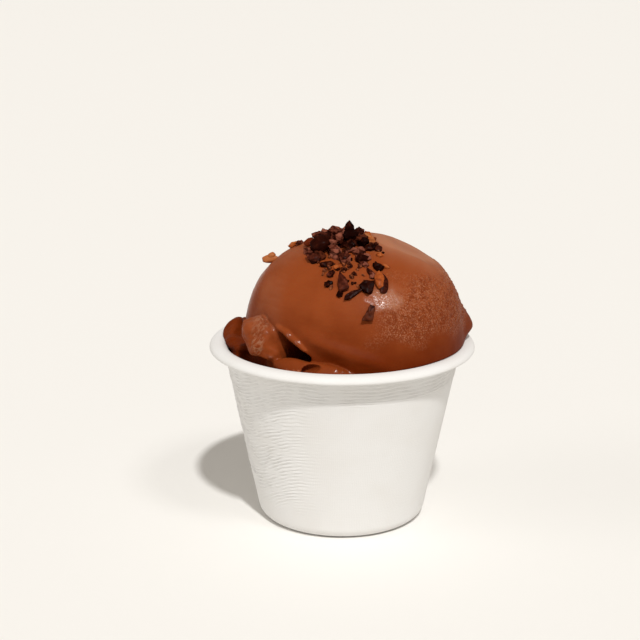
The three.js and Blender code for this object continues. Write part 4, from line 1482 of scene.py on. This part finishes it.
def lay_crumbs():
    """Fine bits that broke off the nibs, thick in and just below the heap and thinning out around it."""
    draw = drawer(CRUMB_SEED)
    crumbs = []
    for index in range(CRUMB_COUNT):
        around = draw(0, 2 * math.pi)
        out = draw(0, 1) ** CRUMB_SPREAD
        right = CRUMB_CENTRE[0] + CRUMB_REACH[0] * out * math.cos(around)
        back = CRUMB_CENTRE[1] + CRUMB_REACH[1] * out * math.sin(around)
        length = draw(*CRUMB_LENGTH)
        size = (length, length * draw(*NIB_WIDTH), length * draw(*NIB_THICKNESS))
        tilt = (draw(-CRUMB_TILT, CRUMB_TILT), draw(-CRUMB_TILT, CRUMB_TILT))
        turn = draw(0, 180)
        crumbs.append((0, None, set_nib((right, back), size, 0, turn, tilt, CRUMB_LIFT, draw)))
    return crumbs


crumb_heap = lay_crumbs()
print("crumbs:", len(crumb_heap), "with", len(SHARD_FACES), "faces each before they are broken up")

# %% [markdown]
# ## Nibs as broken pieces
# A shard with twelve corners is too clean. Each one is cut into small faces, its edges are worn a little by
# smoothing, and noise breaks the faces up. Whole nibs are smoothed more and roughened less. Creases that
# stay sharp are marked, so that the faces meet in clear edges. BMesh does all nibs of one kind in one go.
# Every nib has one number for its shade, drawn or listed, and each of its faces has one more.

# %% Nib pieces
SHADE_SEED = 4242
NIB_CUTS = 4
CRUMB_CUTS = 1
NIB_ROUGH = 0.22
CRUMB_ROUGH = 0.07
NIB_WEAR = 0.75
NIB_CREASE = math.radians(26)
EDGE_WEAR = 0.18
WHOLE_WEAR = 0.45
WHOLE_WEAR_ROUNDS = 3


def break_up(piece, cuts, depth):
    """Cuts the faces small, wears the edges, and roughens the faces that are not worn."""
    body = bmesh.new()
    body.from_mesh(piece.data)
    bmesh.ops.subdivide_edges(body, edges=body.edges, cuts=cuts, use_grid_fill=True)
    whole = body.verts.layers.float["whole"]
    worn = [point for point in body.verts if point[whole] > 0.5]
    every_way = dict(use_axis_x=True, use_axis_y=True, use_axis_z=True)
    bmesh.ops.smooth_vert(body, verts=body.verts, factor=EDGE_WEAR, **every_way)
    for wear_round in range(WHOLE_WEAR_ROUNDS):
        bmesh.ops.smooth_vert(body, verts=worn, factor=WHOLE_WEAR, **every_way)
    broken = np.array([1 - NIB_WEAR * point[whole] for point in body.verts])
    body.to_mesh(piece.data)
    body.free()
    points = points_of(piece)
    crest = broken * (lumps(points, 0.8, 11.0) + 0.6 * lumps(points, 0.4, 13.0))
    move_points(piece, points + depth * crest[:, None] * normals_of(piece))
    # The relief's height is kept for the material, which paints shade into the hollows and light onto the
    # crests.
    mark_points(piece, "crest", crest)


def add_nibs(kind, heap, pick, cuts, depth):
    """One piece with all nibs of a kind, from their corners."""
    points = [corner for whole, shade, corners in heap for corner in corners]
    faces = [tuple(SHARD_CORNERS * n + c for c in face) for n in range(len(heap)) for face in SHARD_FACES]
    piece = add_piece("nibs_" + kind, points, faces)
    drawn = [pick(0, 1) for nib in heap]
    shades = [chance if shade is None else shade for chance, (whole, shade, corners) in zip(drawn, heap)]
    wholes = [whole for whole, shade, corners in heap]
    mark_points(piece, "shade", np.repeat(shades, SHARD_CORNERS))
    mark_points(piece, "whole", np.repeat(wholes, SHARD_CORNERS))
    tones = np.array([pick(0, 1) for face in faces])
    facets = piece.data.attributes.new("facet", "FLOAT", "FACE")
    facets.data.foreach_set("value", 0.5 + (tones - 0.5) * (1 - np.repeat(wholes, len(SHARD_FACES))))
    break_up(piece, cuts, depth)
    piece.data.set_sharp_from_angle(angle=NIB_CREASE)
    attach(piece, "root")
    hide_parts("sorbet")
    return piece


pick_shade = drawer(SHADE_SEED)
nib_pieces = {}
for kind, heap in nib_heaps.items():
    nib_pieces[kind] = add_nibs(kind, heap, pick_shade, NIB_CUTS, NIB_ROUGH)
nib_pieces["crumbs"] = add_nibs("crumbs", crumb_heap, pick_shade, CRUMB_CUTS, CRUMB_ROUGH)
print("nib faces:", {kind: len(piece.data.polygons) for kind, piece in nib_pieces.items()})

# %% [markdown]
# ## The nibs' finishes
# Roasted nib is nearly black with a dull gloss, broken nib is a mauve brown, and bits of husk are orange
# tan with dark skin. Each kind has three colours: shell, flesh and crumb. The nib's own shade, the tone of
# each face and the height of its relief slide between them, and noise adds blotches. Through the height of
# the relief, shade is painted into the hollows and light onto the crests.

# %% Nib materials
NIB_COLOURS = {
    "dark": ((0.008, 0.0012, 0.0006), (0.021, 0.0034, 0.0016), (0.078, 0.0168, 0.0065)),
    "brown": ((0.016, 0.0024, 0.0012), (0.072, 0.0145, 0.0072), (0.235, 0.0720, 0.0430)),
    "husk": ((0.110, 0.0160, 0.0040), (0.350, 0.0780, 0.0165), (0.400, 0.1400, 0.0480)),
    "crumbs": ((0.014, 0.0022, 0.0011), (0.070, 0.0150, 0.0070), (0.260, 0.0750, 0.0280)),
}
NIB_GLOSS = {"dark": 0.05, "brown": 0.05, "husk": 0.1, "crumbs": 0.08}


def nib_material(kind):
    shell, flesh, crumb = NIB_COLOURS[kind]
    material, tree, shader = new_material("cacao_nib_" + kind)
    place = add_node(tree, "ShaderNodeTexCoord").outputs["Object"]
    blotch = noise_at(tree, place, Scale=700.0, Detail=5.0, Roughness=0.7)
    share = rescale(tree, blotch, 0.32, 0.68, -0.22, 0.22)
    # Crest paints shade into the hollows of the relief and light onto its crests.
    marks = (("shade", 0, -0.05, 0.75), ("facet", 0, -0.28, 0.4), ("crest", -1, -0.36, 0.36))
    for name, start, low, high in marks:
        mark = add_node(tree, "ShaderNodeAttribute", attribute_name=name).outputs["Fac"]
        part = rescale(tree, mark, start, 1, low, high)
        share = combine(tree, "ADD", share, part)
    colour = ramp(tree, share, (0.1, shell), (0.5, flesh), (0.95, crumb))
    tree.links.new(colour, shader.inputs["Base Color"])
    fine = noise_at(tree, place, Scale=2600.0, Detail=4.0)
    bump = add_node(tree, "ShaderNodeBump", {"Height": fine}, Strength=0.5, Distance=0.00015)
    tree.links.new(bump.outputs["Normal"], shader.inputs["Normal"])
    shader.inputs["Roughness"].default_value = 0.6
    shader.inputs["Specular IOR Level"].default_value = 0.0
    shader.inputs["Coat Weight"].default_value = NIB_GLOSS[kind]
    shader.inputs["Coat Roughness"].default_value = 0.3
    shader.inputs["Coat IOR"].default_value = 1.4
    return material


for kind, piece in nib_pieces.items():
    piece.data.materials.append(nib_material(kind))
print("nib finishes:", [piece.data.materials[0].name for piece in nib_pieces.values()])
